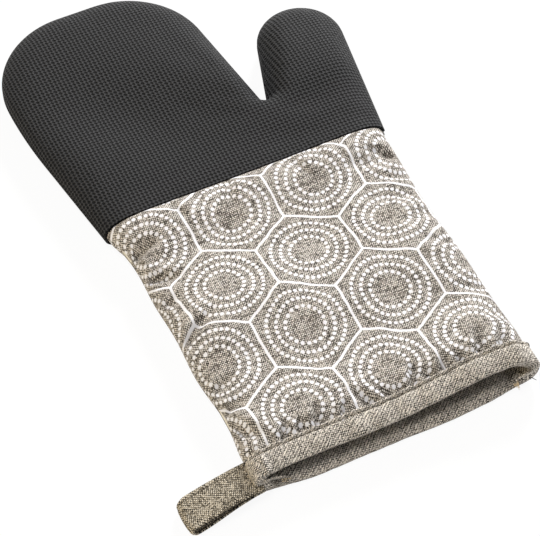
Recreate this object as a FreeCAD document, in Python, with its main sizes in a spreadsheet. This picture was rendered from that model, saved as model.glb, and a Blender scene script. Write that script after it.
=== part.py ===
import FreeCAD, Part
import math
import os
import Sketcher

# Oven mitt lying palm down: a neoprene hand with a printed cloth cuff, wadding and lining inside,
# a bound mouth and a tape loop to hang it by.  Millimetres.  +X runs across towards the thumb,
# +Y from the mouth to the fingertips and +Z up.  While it is being drawn the mitt has its mouth
# edge at Y = 0, the middle of its wrist at X = 0 and its side seam in the plane Z = 0.

doc = FreeCAD.newDocument("OvenMitt")
sheet = doc.addObject("Spreadsheet::Sheet", "sizes")

sizeList = (
    # outline of the neoprene hand, seen from above
    ("wristHalf", 81.5, "middle of the wrist to either side, along the cuff"),
    ("cuffLength", 174.0, "mouth edge to the neoprene"),
    ("heelFlareDrop", 46.0, "where the little finger side starts to widen, short of the neoprene"),
    ("thumbFlareDrop", 21.0, "where the thumb side starts to widen, short of the neoprene"),
    ("flareRadius", 120.0, "hollow where the wrist widens, both sides"),
    ("crotchRise", 49.2, "neoprene's edge to the notch between fingers and thumb"),
    ("crotchX", 32.3, "notch from the middle of the wrist"),
    ("crotchRadius", 1.5, "how tight the notch is"),
    ("fingerLength", 108.3, "notch to the fingertips"),
    ("fingertipRadius", 50.0, "both corners of the fingertips"),
    ("fingertipFlat", 22.7, "straight run between the two corners"),
    ("littleFingerSpread", 18.3, "little finger side, further out than the wrist"),
    ("sideRadius", 300.0, "slow bulge of the little finger side"),
    ("thumbLength", 56.8, "notch to the thumb's tip"),
    ("thumbX", 71.0, "middle of the thumb's round end, from the middle of the wrist"),
    ("thumbRadius", 25.5, "round end of the thumb"),
    # thickness and plies
    ("mittThickness", 22.0, "back to palm"),
    ("edgeRadius", 8.0, "rounding of the outer face into the side seam"),
    ("neopreneThickness", 2.5, "outer ply of the hand"),
    ("cuffThickness", 1.0, "printed cloth of the cuff"),
    ("waddingThickness", 2.5, "insulating felt"),
    ("liningThickness", 1.0, "inner cloth"),
    ("plyGap", 0.1, "clearance between plies"),
    ("threadRadius", 0.3, "thread of the hidden seams"),
    # binding of the mouth
    ("bindingThickness", 1.0, "folded tape on each side of the mouth"),
    ("bindingDepth", 12.5, "how far it reaches up from the mouth edge"),
    ("stitchLength", 2.6, "one topstitch"),
    ("stitchSpace", 1.0, "gap between two topstitches"),
    ("stitchWidth", 0.7, "thread of the topstitch, across"),
    ("stitchRise", 0.3, "how far a topstitch stands up"),
    ("stitchMargin", 2.0, "topstitch to the free edge of the binding"),
    # hanging loop
    ("tapeThickness", 1.2, "tape of the loop"),
    ("loopWidth", 18.0, "tape across"),
    ("loopReach", 38.0, "side of the mitt to the tip of the loop"),
    ("loopGap", 5.2, "inside the fold"),
    ("loopRootGap", 0.6, "between the tape's two ends at the root"),
    ("loopSewn", 7.0, "root over which the two ends are sewn together"),
    ("loopY", 6.5, "middle of the loop, from the mouth edge"),
    ("loopDrop", 4.0, "root of the loop below the side seam"),
    ("hingeGap", 0.3, "loop's root to the side of the mitt"),
    ("loopMargin", 3.0, "edge stitching to the edge and ends of the loop"),
)

for row, (alias, number, note) in enumerate(sizeList, 1):
    sheet.set("A%d" % row, alias)
    sheet.set("B%d" % row, str(number))
    sheet.set("C%d" % row, note)
    sheet.setAlias("B%d" % row, alias)
doc.recompute()
size = {alias: float(getattr(sheet, alias)) for alias, number, note in sizeList}

back = 1        # the half above the side seam
palm = -1       # the half below it
openEnd = 20.0  # how far a cutting tool runs past the open mouth
sharpest = 0.4  # smallest rounding given to an inner ply
closeTo = 1e-4  # two levels nearer than this are the same
throughText = "4 * sizes.mittThickness"     # length of a cut that goes clean through the mitt
bevelText = "3 * sizes.threadRadius"        # room that a seam thread needs at the wadding's rim


# A depth is how far a face lies inside the outline of the neoprene.  It is written as a tuple of
# sheet names, added up, or taken away where the name starts with a minus.

def amount(names):
    # the number that a tuple of sheet names adds up to
    return sum(-size[name[1:]] if name[0] == "-" else size[name] for name in names)


def text(names):
    # the same sum as an expression on the sheet
    terms = ["- sizes." + name[1:] if name[0] == "-" else "+ sizes." + name for name in names]
    return "(0 " + " ".join(terms) + ")"


neopreneOuter = ()
neopreneInner = ("neopreneThickness",)
cuffOuter = neopreneInner + ("-cuffThickness",)
cuffInner = neopreneInner
waddingOuter = neopreneInner + ("plyGap",)
waddingInner = waddingOuter + ("waddingThickness",)
liningOuter = waddingInner + ("plyGap",)
liningInner = liningOuter + ("liningThickness",)
bindingChannelOuter = cuffOuter + ("-plyGap",)
bindingOuter = bindingChannelOuter + ("-bindingThickness",)
bindingChannelInner = liningInner + ("plyGap",)
bindingInner = bindingChannelInner + ("bindingThickness",)

# Places along Y and X are sums of sheet names too.
littleFinger = ("wristHalf", "littleFingerSpread")
littleMiddle = ("fingertipRadius", "-wristHalf", "-littleFingerSpread")
bindingFold = ("plyGap", "bindingThickness")
cuffEnd = ("cuffLength",)
crotchLevel = cuffEnd + ("crotchRise",)
fingertips = crotchLevel + ("fingerLength",)
tipMiddle = fingertips + ("-fingertipRadius",)
slitLow = cuffEnd + ("-plyGap", "-plyGap", "-threadRadius", "-threadRadius")


def roundingAt(depth):
    # radius of the rounding of a face at this depth, as a number and as an expression
    number = max(size["edgeRadius"] - amount(depth), sharpest)
    return number, "max(sizes.edgeRadius - %s; %s)" % (text(depth), sharpest)


def heightAt(depth):
    # height of a face at this depth above the side seam
    return size["mittThickness"] / 2 - amount(depth), "sizes.mittThickness / 2 - %s" % text(depth)


# Sketches

def planeOf(body, role):
    for feature in body.Origin.OriginFeatures:
        if feature.Role == role:
            return feature


def newSketch(body, name, role, lift=None):
    sketch = body.newObject("Sketcher::SketchObject", name)
    sketch.AttachmentSupport = [(planeOf(body, role), "")]
    sketch.MapMode = "FlatFace"
    if lift:
        sketch.setExpression("AttachmentOffset.Base.z", lift)
    return sketch


def bind(sketch, constraint, expression):
    index = sketch.addConstraint(constraint)
    sketch.setExpression("Constraints[%d]" % index, expression)


def place(sketch, kind, geometry, point, number, expression):
    # fix a point's distance from the sketch's origin, kind being DistanceX or DistanceY
    if number < 0:
        bind(sketch, Sketcher.Constraint(kind, geometry, point, -1, 1, -number), "-(%s)" % expression)
    else:
        bind(sketch, Sketcher.Constraint(kind, -1, 1, geometry, point, number), expression)


def unit(angle):
    return FreeCAD.Vector(math.cos(angle), math.sin(angle), 0)


def circlesOfOutline(depth):
    # the round stretches, in order up the little finger side and down the thumb side.  Each has
    # its centre, which is the same at every depth, its radius and a turn: 1 where the outline
    # bulges and -1 in a hollow
    inset, insetText = amount(depth), text(depth)
    side, flare = "sideRadius", "flareRadius"
    rows = (
        (-size["wristHalf"] - size[flare], None, cuffEnd + ("-heelFlareDrop",), flare, -1),
        (size[side] - amount(littleFinger), None, tipMiddle, side, 1),
        (None, littleMiddle, tipMiddle, "fingertipRadius", 1),
        (None, littleMiddle + ("fingertipFlat",), tipMiddle, "fingertipRadius", 1),
        (None, ("crotchX",), crotchLevel, "crotchRadius", -1),
        (None, ("thumbX",), crotchLevel + ("thumbLength", "-thumbRadius"), "thumbRadius", 1),
        (size["wristHalf"] + size[flare], None, cuffEnd + ("-thumbFlareDrop",), flare, -1),
    )
    circles = []
    for x, xNames, yNames, radius, turn in rows:
        if xNames:
            x = amount(xNames)
        sign = "-" if turn > 0 else "+"
        circles.append({"centre": FreeCAD.Vector(x, amount(yNames), 0), "turn": turn,
                        "radius": size[radius] - turn * inset,
                        "xText": text(xNames) if xNames else None, "yText": text(yNames),
                        "radiusText": "sizes.%s %s %s" % (radius, sign, insetText)})
    return circles


def touchPoints(first, second):
    # ends of the straight line that touches both circles on the path from first to second
    step = second["centre"] - first["centre"]
    reach = second["turn"] * second["radius"] - first["turn"] * first["radius"]
    ratio = max(-1.0, min(1.0, reach / step.Length))
    normal = unit(math.atan2(step.y, step.x) - math.acos(ratio))
    start = first["centre"] - normal * (first["turn"] * first["radius"])
    end = second["centre"] - normal * (second["turn"] * second["radius"])
    return start, end


def drawOutline(sketch, depth, low, lowText, closed=True):
    # outline at a depth, from the level low at the mouth, over the fingers and thumb and back
    circles = circlesOfOutline(depth)
    half = size["wristHalf"] - amount(depth)
    halfText = "sizes.wristHalf - %s" % text(depth)
    points = [FreeCAD.Vector(-half, low, 0), FreeCAD.Vector(-half, circles[0]["centre"].y, 0)]
    for first, second in zip(circles, circles[1:]):
        points.extend(touchPoints(first, second))
    points += [FreeCAD.Vector(half, circles[-1]["centre"].y, 0), FreeCAD.Vector(half, low, 0)]

    chain = []      # (geometry, its point at the start of the walk, its point at the end)
    shortest = 1e-3
    for number in range(len(circles) + 1):
        start, end = points[2 * number], points[2 * number + 1]
        if (end - start).Length > shortest:
            line = sketch.addGeometry(Part.LineSegment(start, end), False)
            chain.append((line, 1, 2))
        if number == len(circles):
            break
        circle = circles[number]
        arriving = points[2 * number + 1] - circle["centre"]
        leaving = points[2 * number + 2] - circle["centre"]
        angles = [math.atan2(arriving.y, arriving.x), math.atan2(leaving.y, leaving.x)]
        ends = (1, 2)
        if circle["turn"] > 0:
            angles.reverse()
            ends = (2, 1)
        whole = Part.Circle(circle["centre"], FreeCAD.Vector(0, 0, 1), circle["radius"])
        arc = sketch.addGeometry(Part.ArcOfCircle(whole, angles[0], angles[1]), False)
        chain.append((arc,) + ends)
        circle["geometry"] = arc

    for (first, _, firstEnd), (second, secondStart, _) in zip(chain, chain[1:]):
        sketch.addConstraint(Sketcher.Constraint("Tangent", first, firstEnd, second, secondStart))
    left, right = chain[0][0], chain[-1][0]
    sketch.addConstraint(Sketcher.Constraint("Vertical", left))
    sketch.addConstraint(Sketcher.Constraint("Vertical", right))
    place(sketch, "DistanceX", left, 1, -half, "-(%s)" % halfText)
    place(sketch, "DistanceX", right, 2, half, halfText)
    place(sketch, "DistanceY", left, 1, low, lowText)
    if closed:
        bottom = sketch.addGeometry(Part.LineSegment(points[-1], points[0]), False)
        sketch.addConstraint(Sketcher.Constraint("Coincident", right, 2, bottom, 1))
        sketch.addConstraint(Sketcher.Constraint("Coincident", bottom, 2, left, 1))
        sketch.addConstraint(Sketcher.Constraint("Horizontal", bottom))
    else:
        place(sketch, "DistanceY", right, 2, low, lowText)
    for circle in circles:
        arc = circle["geometry"]
        bind(sketch, Sketcher.Constraint("Radius", arc, circle["radius"]), circle["radiusText"])
        if circle["xText"]:
            place(sketch, "DistanceX", arc, 3, circle["centre"].x, circle["xText"])
        place(sketch, "DistanceY", arc, 3, circle["centre"].y, circle["yText"])


def drawRectangle(sketch, sides, expressions):
    # rectangle from its left, right, low and high sides
    left, right, low, high = sides
    corners = [FreeCAD.Vector(*c, 0) for c in ((left, low), (right, low), (right, high), (left, high))]
    lines = [sketch.addGeometry(Part.LineSegment(corners[i], corners[(i + 1) % 4]), False)
             for i in range(4)]
    for i in range(4):
        sketch.addConstraint(Sketcher.Constraint("Coincident", lines[i], 2, lines[(i + 1) % 4], 1))
        direction = "Vertical" if i % 2 else "Horizontal"
        sketch.addConstraint(Sketcher.Constraint(direction, lines[i]))
    place(sketch, "DistanceX", lines[0], 1, left, expressions[0])
    place(sketch, "DistanceX", lines[2], 1, right, expressions[1])
    place(sketch, "DistanceY", lines[0], 1, low, expressions[2])
    place(sketch, "DistanceY", lines[2], 1, high, expressions[3])


def drawSection(sketch, depth):
    # rounded rectangle: the mitt's cross section through the cuff at a depth
    half = size["wristHalf"] - amount(depth)
    halfText = "sizes.wristHalf - %s" % text(depth)
    height, heightText = heightAt(depth)
    radius, radiusText = roundingAt(depth)
    corners = []
    for quarter, (sideX, sideY) in enumerate(((1, 1), (-1, 1), (-1, -1), (1, -1))):
        centre = FreeCAD.Vector(sideX * (half - radius), sideY * (height - radius), 0)
        whole = Part.Circle(centre, FreeCAD.Vector(0, 0, 1), radius)
        start = quarter * math.pi / 2
        corners.append(sketch.addGeometry(Part.ArcOfCircle(whole, start, start + math.pi / 2), False))
    lines = []
    for i in range(4):
        start = sketch.Geometry[corners[i]].EndPoint
        end = sketch.Geometry[corners[(i + 1) % 4]].StartPoint
        lines.append(sketch.addGeometry(Part.LineSegment(start, end), False))
    for i in range(4):
        sketch.addConstraint(Sketcher.Constraint("Tangent", corners[i], 2, lines[i], 1))
        sketch.addConstraint(Sketcher.Constraint("Tangent", lines[i], 2, corners[(i + 1) % 4], 1))
        direction = "Vertical" if i % 2 else "Horizontal"
        sketch.addConstraint(Sketcher.Constraint(direction, lines[i]))
    bind(sketch, Sketcher.Constraint("Radius", corners[0], radius), radiusText)
    for corner in corners[1:3]:
        sketch.addConstraint(Sketcher.Constraint("Equal", corners[0], corner))
    place(sketch, "DistanceY", lines[0], 1, height, heightText)
    place(sketch, "DistanceX", lines[1], 1, -half, "-(%s)" % halfText)
    place(sketch, "DistanceY", lines[2], 1, -height, "-(%s)" % heightText)
    place(sketch, "DistanceX", lines[3], 1, half, halfText)


def drawSlot(sketch, start, level):
    # one stitch: a bar with round ends along X.  The X of its first end and its Y are pairs of
    # number and expression
    radius = size["stitchWidth"] / 2
    near = start[0] + radius
    far = near + size["stitchLength"] - size["stitchWidth"]
    first, second = FreeCAD.Vector(near, level[0], 0), FreeCAD.Vector(far, level[0], 0)
    up, normal = FreeCAD.Vector(0, radius, 0), FreeCAD.Vector(0, 0, 1)
    quarter = math.pi / 2
    left = sketch.addGeometry(
        Part.ArcOfCircle(Part.Circle(first, normal, radius), quarter, 3 * quarter), False)
    right = sketch.addGeometry(
        Part.ArcOfCircle(Part.Circle(second, normal, radius), -quarter, quarter), False)
    low = sketch.addGeometry(Part.LineSegment(first - up, second - up), False)
    high = sketch.addGeometry(Part.LineSegment(second + up, first + up), False)
    for ends in ((left, 2, low, 1), (low, 2, right, 1), (right, 2, high, 1), (high, 2, left, 1)):
        sketch.addConstraint(Sketcher.Constraint("Tangent", *ends))
    sketch.addConstraint(Sketcher.Constraint("Horizontal", low))
    bind(sketch, Sketcher.Constraint("Radius", left, radius), "sizes.stitchWidth / 2")
    bind(sketch, Sketcher.Constraint("DistanceX", left, 3, right, 3, far - near),
         "sizes.stitchLength - sizes.stitchWidth")
    place(sketch, "DistanceX", left, 3, near, "%s + sizes.stitchWidth / 2" % start[1])
    place(sketch, "DistanceY", left, 3, level[0], level[1])


# Features

def checked(feature, removes=None):
    # recompute and make sure that the feature came out whole, and that a cut took something away
    doc.recompute()
    shape = feature.Shape
    if "Invalid" in feature.State or "Error" in feature.State or shape.isNull():
        raise RuntimeError("%s failed: %s" % (feature.Name, feature.State))
    if removes and not shape.Volume < removes.Shape.Volume - 1e-3:
        raise RuntimeError("%s cut nothing" % feature.Name)
    return feature


def newBody(label):
    body = doc.addObject("PartDesign::Body", label)
    body.Label = label
    return body


def addPad(body, sketch, lengthText, reverse=False, both=False):
    pad = body.newObject("PartDesign::Pad", body.Name + "Pad")
    pad.Profile = sketch
    pad.Reversed = reverse
    pad.Midplane = both
    pad.setExpression("Length", lengthText)
    return checked(pad)


def addPocket(body, sketch, lengthText, reverse, before):
    pocket = body.newObject("PartDesign::Pocket", body.Name + "Pocket")
    pocket.Profile = sketch
    pocket.Reversed = reverse
    pocket.setExpression("Length", lengthText)
    return checked(pocket, removes=before)


def addTrim(body, sketch, before):
    # cut away everything above and below the sketch
    trim = body.newObject("PartDesign::Pocket", body.Name + "Trim")
    trim.Profile = sketch
    trim.Midplane = True
    trim.setExpression("Length", throughText)
    return checked(trim, removes=before)


def inPlane(shape, axis, level):
    # whether an edge or face lies in the plane where the axis, Y or Z, is at the level
    box = shape.BoundBox
    low, high = (box.YMin, box.YMax) if axis == "Y" else (box.ZMin, box.ZMax)
    return abs(low - level) < closeTo and abs(high - level) < closeTo


def edgesAtLevel(shape, level, mouth):
    # names of the edges in the plane Z = level, leaving out the one along the mouth
    return ["Edge%d" % number for number, edge in enumerate(shape.Edges, 1)
            if inPlane(edge, "Z", level) and not inPlane(edge, "Y", mouth)]


def addRounding(body, before, edges, radiusText):
    rounding = body.newObject("PartDesign::Fillet", body.Name + "Rounding")
    rounding.Base = (before, edges)
    rounding.setExpression("Radius", radiusText)
    return checked(rounding)


def addPly(label, side, outer, inner, low=None, high=None):
    # one half of one ply: a dish with its rim on the side seam.  outer and inner are the depths of
    # its two faces, and it is kept between the levels low and high
    body = newBody(label)
    below = side == palm
    outerHeight, outerHeightText = heightAt(outer)
    sketch = newSketch(body, label + "Outer", "XY_Plane")
    drawOutline(sketch, outer, 0.0, "0")
    solid = addPad(body, sketch, outerHeightText, reverse=below)

    rim = edgesAtLevel(solid.Shape, side * outerHeight, 0.0)
    solid = addRounding(body, solid, rim, roundingAt(outer)[1])

    faces = ["Face%d" % number for number, face in enumerate(solid.Shape.Faces, 1)
             if inPlane(face, "Z", 0.0) or inPlane(face, "Y", 0.0)]
    dish = body.newObject("PartDesign::Thickness", label + "Dish")
    dish.Base = (solid, faces)
    dish.Reversed = True
    dish.Mode = 0
    dish.Join = 0
    dish.setExpression("Value", "%s - %s" % (text(inner), text(outer)))
    solid = checked(dish, removes=solid)

    wide, wideText = 4 * size["wristHalf"], "4 * sizes.wristHalf"
    far, farText = amount(fingertips) + openEnd, "%s + %s" % (text(fingertips), openEnd)
    if low:
        sketch = newSketch(body, label + "BelowLow", "XY_Plane")
        drawRectangle(sketch, (-wide, wide, -openEnd, amount(low)),
                      ("-" + wideText, wideText, str(-openEnd), text(low)))
        solid = addTrim(body, sketch, solid)
    if high:
        sketch = newSketch(body, label + "AboveHigh", "XY_Plane")
        drawRectangle(sketch, (-wide, wide, amount(high), far),
                      ("-" + wideText, wideText, text(high), farText))
        solid = addTrim(body, sketch, solid)
    return body, solid


# Sub-parts

def addWadding(label, side):
    # felt dish; its rim is bevelled inside and out to house the threads of the two side seams
    body, solid = addPly(label, side, waddingOuter, waddingInner)
    seamEdges = edgesAtLevel(solid.Shape, 0.0, 0.0)
    bevel = body.newObject("PartDesign::Chamfer", label + "Bevel")
    bevel.Base = (solid, seamEdges)
    bevel.setExpression("Size", bevelText)
    checked(bevel, removes=solid)
    return body


def addSeamThread(label, depth):
    # round thread along the outline at a depth, from one side of the mouth to the other
    body = newBody(label)
    path = newSketch(body, label + "Path", "XY_Plane")
    drawOutline(path, depth, 0.0, "0", closed=False)
    profile = newSketch(body, label + "Profile", "XZ_Plane")
    start = amount(depth) - size["wristHalf"]
    whole = Part.Circle(FreeCAD.Vector(start, 0, 0), FreeCAD.Vector(0, 0, 1), size["threadRadius"])
    circle = profile.addGeometry(whole, False)
    bind(profile, Sketcher.Constraint("Radius", circle, size["threadRadius"]), "sizes.threadRadius")
    place(profile, "DistanceX", circle, 3, start, "%s - sizes.wristHalf" % text(depth))
    profile.addConstraint(Sketcher.Constraint("PointOnObject", circle, 3, -1))
    doc.recompute()
    pipe = body.newObject("PartDesign::AdditivePipe", label + "Pipe")
    pipe.Profile = profile
    pipe.Spine = (path, [])
    checked(pipe)
    return body


def addBinding(label):
    # tape folded over the mouth edge of every ply: a ring with a channel that opens up the cuff
    body = newBody(label)
    foldText = text(bindingFold)
    outside = newSketch(body, label + "Outside", "XZ_Plane", foldText)
    drawSection(outside, bindingOuter)
    solid = addPad(body, outside, "sizes.bindingDepth + " + foldText, reverse=True)
    inside = newSketch(body, label + "Inside", "XZ_Plane", foldText)
    drawSection(inside, bindingInner)
    solid = addPocket(body, inside, "sizes.bindingDepth + " + foldText, False, solid)
    channel = newSketch(body, label + "Channel", "XZ_Plane", "sizes.plyGap")
    drawSection(channel, bindingChannelOuter)
    drawSection(channel, bindingChannelInner)
    addPocket(body, channel, "sizes.bindingDepth + sizes.plyGap", False, solid)
    return body


def addStitches(label, side, rows, lift, start, span):
    # straight rows of stitches along X on a flat face, as many as fit on the span.  rows holds the
    # Y of each; it, the lift of the face, the start and the span are pairs of number and expression
    body = newBody(label)
    sketch = newSketch(body, label + "Stitch", "XY_Plane", lift[1])
    for y in rows:
        drawSlot(sketch, start, y)
    stitch = addPad(body, sketch, "sizes.stitchRise", reverse=side == palm)
    pitchText = "(sizes.stitchLength + sizes.stitchSpace)"
    countText = "(floor((%s - sizes.stitchLength) / %s) + 1)" % (span[1], pitchText)
    row = body.newObject("PartDesign::LinearPattern", label + "Row")
    row.Originals = [stitch]
    row.Direction = (sketch, ["H_Axis"])
    row.setExpression("Occurrences", countText)
    row.setExpression("Length", "(%s - 1) * %s" % (countText, pitchText))
    body.Tip = row
    checked(row)
    return body


def addBindingStitches(label, side):
    y = (size["bindingDepth"] - size["stitchMargin"], "sizes.bindingDepth - sizes.stitchMargin")
    height, heightText = heightAt(bindingOuter)
    radius, radiusText = roundingAt(bindingOuter)
    span = 2 * (size["wristHalf"] - amount(bindingOuter) - radius)
    spanText = "(2 * (sizes.wristHalf - %s - %s))" % (text(bindingOuter), radiusText)
    sign = "" if side == back else "-"
    return addStitches(label, side, [y], (side * height, "%s(%s)" % (sign, heightText)),
                       (-span / 2, "-%s / 2" % spanText), (span, spanText))


# The loop is drawn about the middle of its root, running out along -X.  Seen from the end its
# outer face wraps a small circle at the root and a large one at the tip, and its two layers
# spread evenly from one to the other.
rootRadius = size["tapeThickness"] + size["loopRootGap"] / 2
tipRadius = size["tapeThickness"] + size["loopGap"] / 2
loopSpan = size["loopReach"] - size["hingeGap"] - rootRadius - tipRadius
rootRadiusText = "(sizes.tapeThickness + sizes.loopRootGap / 2)"
tipRadiusText = "(sizes.tapeThickness + sizes.loopGap / 2)"
loopSpanText = "(sizes.loopReach - sizes.hingeGap - %s - %s)" % (rootRadiusText, tipRadiusText)
spread = math.asin((tipRadius - rootRadius) / loopSpan)
sag = math.asin((size["mittThickness"] / 2 - size["loopDrop"] - tipRadius) / loopSpan)
rootX = amount(bindingOuter) - size["wristHalf"] - size["hingeGap"] - rootRadius
root = FreeCAD.Vector(rootX, size["loopY"], -size["loopDrop"])


def drawWrap(sketch, near, far):
    # closed outline round two circles on the X axis, each (x, its expression, radius, expression)
    circles = [{"centre": FreeCAD.Vector(x, 0, 0), "radius": radius, "turn": 1} for x, _, radius, _ in
               (near, far)]
    low = touchPoints(circles[0], circles[1])
    high = touchPoints(circles[1], circles[0])
    arcs = []
    for circle, start, end in ((circles[0], low[0], high[1]), (circles[1], high[0], low[1])):
        first, last = start - circle["centre"], end - circle["centre"]
        whole = Part.Circle(circle["centre"], FreeCAD.Vector(0, 0, 1), circle["radius"])
        arc = Part.ArcOfCircle(whole, math.atan2(first.y, first.x), math.atan2(last.y, last.x))
        arcs.append(sketch.addGeometry(arc, False))
    lines = [sketch.addGeometry(Part.LineSegment(*low), False),
             sketch.addGeometry(Part.LineSegment(*high), False)]
    for ends in ((lines[0], 1, arcs[0], 1), (lines[0], 2, arcs[1], 2),
                 (lines[1], 1, arcs[1], 1), (lines[1], 2, arcs[0], 2)):
        sketch.addConstraint(Sketcher.Constraint("Tangent", *ends))
    for arc, (x, xText, radius, radiusText) in zip(arcs, (near, far)):
        bind(sketch, Sketcher.Constraint("Radius", arc, radius), radiusText)
        place(sketch, "DistanceX", arc, 3, x, xText)
        sketch.addConstraint(Sketcher.Constraint("PointOnObject", arc, 3, -1))


def addLoop(label):
    body = newBody(label)
    outside = newSketch(body, label + "Outside", "XZ_Plane")
    drawWrap(outside, (0.0, "0", rootRadius, rootRadiusText),
             (-loopSpan, "-" + loopSpanText, tipRadius, tipRadiusText))
    solid = addPad(body, outside, "sizes.loopWidth", both=True)
    hole = newSketch(body, label + "Hole", "XZ_Plane")
    widening = (size["loopGap"] - size["loopRootGap"]) / 2 * size["loopSewn"] / loopSpan
    wideningText = "(sizes.loopGap - sizes.loopRootGap) / 2 * sizes.loopSewn / " + loopSpanText
    drawWrap(hole, (-size["loopSewn"], "-sizes.loopSewn", size["loopRootGap"] / 2 + widening,
                    "sizes.loopRootGap / 2 + " + wideningText),
             (-loopSpan, "-" + loopSpanText, size["loopGap"] / 2, "sizes.loopGap / 2"))
    addTrim(body, hole, solid)
    return body


def addLoopStitches(label, side):
    edge = size["loopWidth"] / 2 - size["loopMargin"]
    edgeText = "(sizes.loopWidth / 2 - sizes.loopMargin)"
    span = loopSpan - 2 * size["loopMargin"]
    spanText = "(%s - 2 * sizes.loopMargin)" % loopSpanText
    start = size["loopMargin"] - loopSpan
    startText = "(sizes.loopMargin - %s)" % loopSpanText
    sign = "" if side == back else "-"
    return addStitches(label, side, [(edge, edgeText), (-edge, "-" + edgeText)],
                       (side * rootRadius, sign + rootRadiusText), (start, startText), (span, spanText))


def turned(body, angle):
    # set a piece of the loop at its root, turned about the hinge by an angle; up is positive
    body.Placement = FreeCAD.Placement(root, FreeCAD.Rotation(FreeCAD.Vector(0, 1, 0), math.degrees(angle)))


for side, name in ((back, "back"), (palm, "palm")):
    addPly("neoprene_" + name, side, neopreneOuter, neopreneInner, low=cuffEnd)
    addPly("cuff_" + name, side, cuffOuter, cuffInner, high=slitLow)
    addPly("cuff_seam_thread_" + name, side, cuffInner + ("-plyGap", "-threadRadius", "-threadRadius"),
           cuffInner + ("-plyGap",), low=slitLow + ("plyGap",), high=cuffEnd + ("-plyGap",))
    addWadding("wadding_" + name, side)
    addPly("lining_" + name, side, liningOuter, liningInner)
    addBindingStitches("binding_stitching_" + name, side)
addSeamThread("outer_seam_thread", neopreneInner + ("plyGap", "threadRadius"))
addSeamThread("lining_seam_thread", liningOuter + ("-plyGap", "-threadRadius"))
addBinding("mouth_binding")
turned(addLoop("hanging_loop"), -sag)
turned(addLoopStitches("loop_stitching_upper", back), spread - sag)
turned(addLoopStitches("loop_stitching_lower", palm), -spread - sag)
doc.recompute()

# The origin goes under the middle of the whole mitt, on the surface that it lies on.
bodies = [item for item in doc.Objects if item.TypeId == "PartDesign::Body"]
whole = FreeCAD.BoundBox()
for body in bodies:
    whole.add(body.Shape.optimalBoundingBox(False, False))
origin = FreeCAD.Vector(whole.Center.x, whole.Center.y, whole.ZMin)
for body in bodies:
    body.Placement.Base = body.Placement.Base - origin
doc.recompute()

for item in doc.Objects:
    if "Invalid" in item.State or "Error" in item.State:
        raise RuntimeError("%s failed: %s" % (item.Name, item.State))
for body in bodies:
    if body.Shape.isNull() or not body.Shape.isValid() or not body.Shape.Solids:
        raise RuntimeError("%s has no sound shape" % body.Label)

os.makedirs("parts", exist_ok=True)
for body in bodies:
    body.Shape.exportStep("parts/%s.step" % body.Label)
    print("%-24s %3d solids %9.1f mm3" % (body.Label, len(body.Shape.Solids), body.Shape.Volume))
print("mouth edge and side seam at", -origin)
print("hinge of the loop at", root - origin, "hanging", math.degrees(sag), "below level")
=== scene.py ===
import math
import bmesh
import bpy
import numpy as np
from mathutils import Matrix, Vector
from mathutils.bvhtree import BVHTree
from mathutils.geometry import delaunay_2d_cdt
from mathutils.kdtree import KDTree


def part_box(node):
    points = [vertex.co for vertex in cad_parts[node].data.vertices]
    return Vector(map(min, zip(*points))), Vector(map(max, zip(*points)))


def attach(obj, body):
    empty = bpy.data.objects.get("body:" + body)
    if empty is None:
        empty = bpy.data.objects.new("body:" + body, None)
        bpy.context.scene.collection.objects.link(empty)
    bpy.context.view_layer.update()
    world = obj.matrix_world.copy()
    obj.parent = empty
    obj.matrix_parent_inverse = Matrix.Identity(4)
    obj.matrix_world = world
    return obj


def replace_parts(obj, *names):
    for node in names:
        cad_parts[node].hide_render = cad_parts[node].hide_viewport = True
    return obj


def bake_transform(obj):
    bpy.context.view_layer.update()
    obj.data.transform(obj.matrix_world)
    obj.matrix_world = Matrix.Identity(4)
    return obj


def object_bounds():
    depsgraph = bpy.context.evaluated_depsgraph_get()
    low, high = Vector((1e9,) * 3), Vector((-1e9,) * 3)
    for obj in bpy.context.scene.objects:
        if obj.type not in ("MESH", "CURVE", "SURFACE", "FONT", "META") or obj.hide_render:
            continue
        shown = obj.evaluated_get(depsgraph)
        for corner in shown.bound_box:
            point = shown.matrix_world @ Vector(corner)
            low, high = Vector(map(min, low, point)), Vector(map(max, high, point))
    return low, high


# Oven mitt lying palm down.  Shapes are worked out in millimetres, x from the middle of the wrist
# towards the thumb, y up from the mouth edge and z from the side seam; inFrame takes them to the frame.

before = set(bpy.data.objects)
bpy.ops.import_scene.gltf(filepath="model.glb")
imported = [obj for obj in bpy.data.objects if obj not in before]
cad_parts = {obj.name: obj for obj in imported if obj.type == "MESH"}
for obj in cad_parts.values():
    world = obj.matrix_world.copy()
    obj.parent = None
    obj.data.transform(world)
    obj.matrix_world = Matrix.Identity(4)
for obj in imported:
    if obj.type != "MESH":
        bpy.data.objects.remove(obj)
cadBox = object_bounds()
scene = bpy.context.scene
print("frame loaded")

mitt = {
    "wristHalf": 81.5,
    "cuffLength": 174.0,
    "halfThickness": 11.0,
    "backRounding": 19.0,      # how far in from the side seam the back reaches its full height
    "palmRounding": 15.0,
    "backFullness": 2.1,       # power of the section's curve: 2 is a quarter of an ellipse
    "palmFullness": 2.5,
    "foldOut": 1.1,            # binding past the mouth edge
    "seamPinch": 1.3,          # how far the edges of two panels roll in at a seam
    "seamLip": 0.12,           # half the groove that they leave
}
sides = ((1, "back"), (-1, "palm"))

# centre x, centre y, radius, and 1 where the outline bulges or -1 where it is hollow
handCircles = (
    (-201.5, 128.0, 120.0, -1),
    (200.2, 281.5, 300.0, 1),
    (-49.8, 281.5, 50.0, 1),
    (-27.1, 281.5, 50.0, 1),
    (32.3, 223.2, 1.5, -1),
    (71.0, 254.5, 25.5, 1),
    (201.5, 153.0, 120.0, -1),
)
crotch = 4                     # row of the circle between the hand and the thumb

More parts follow.
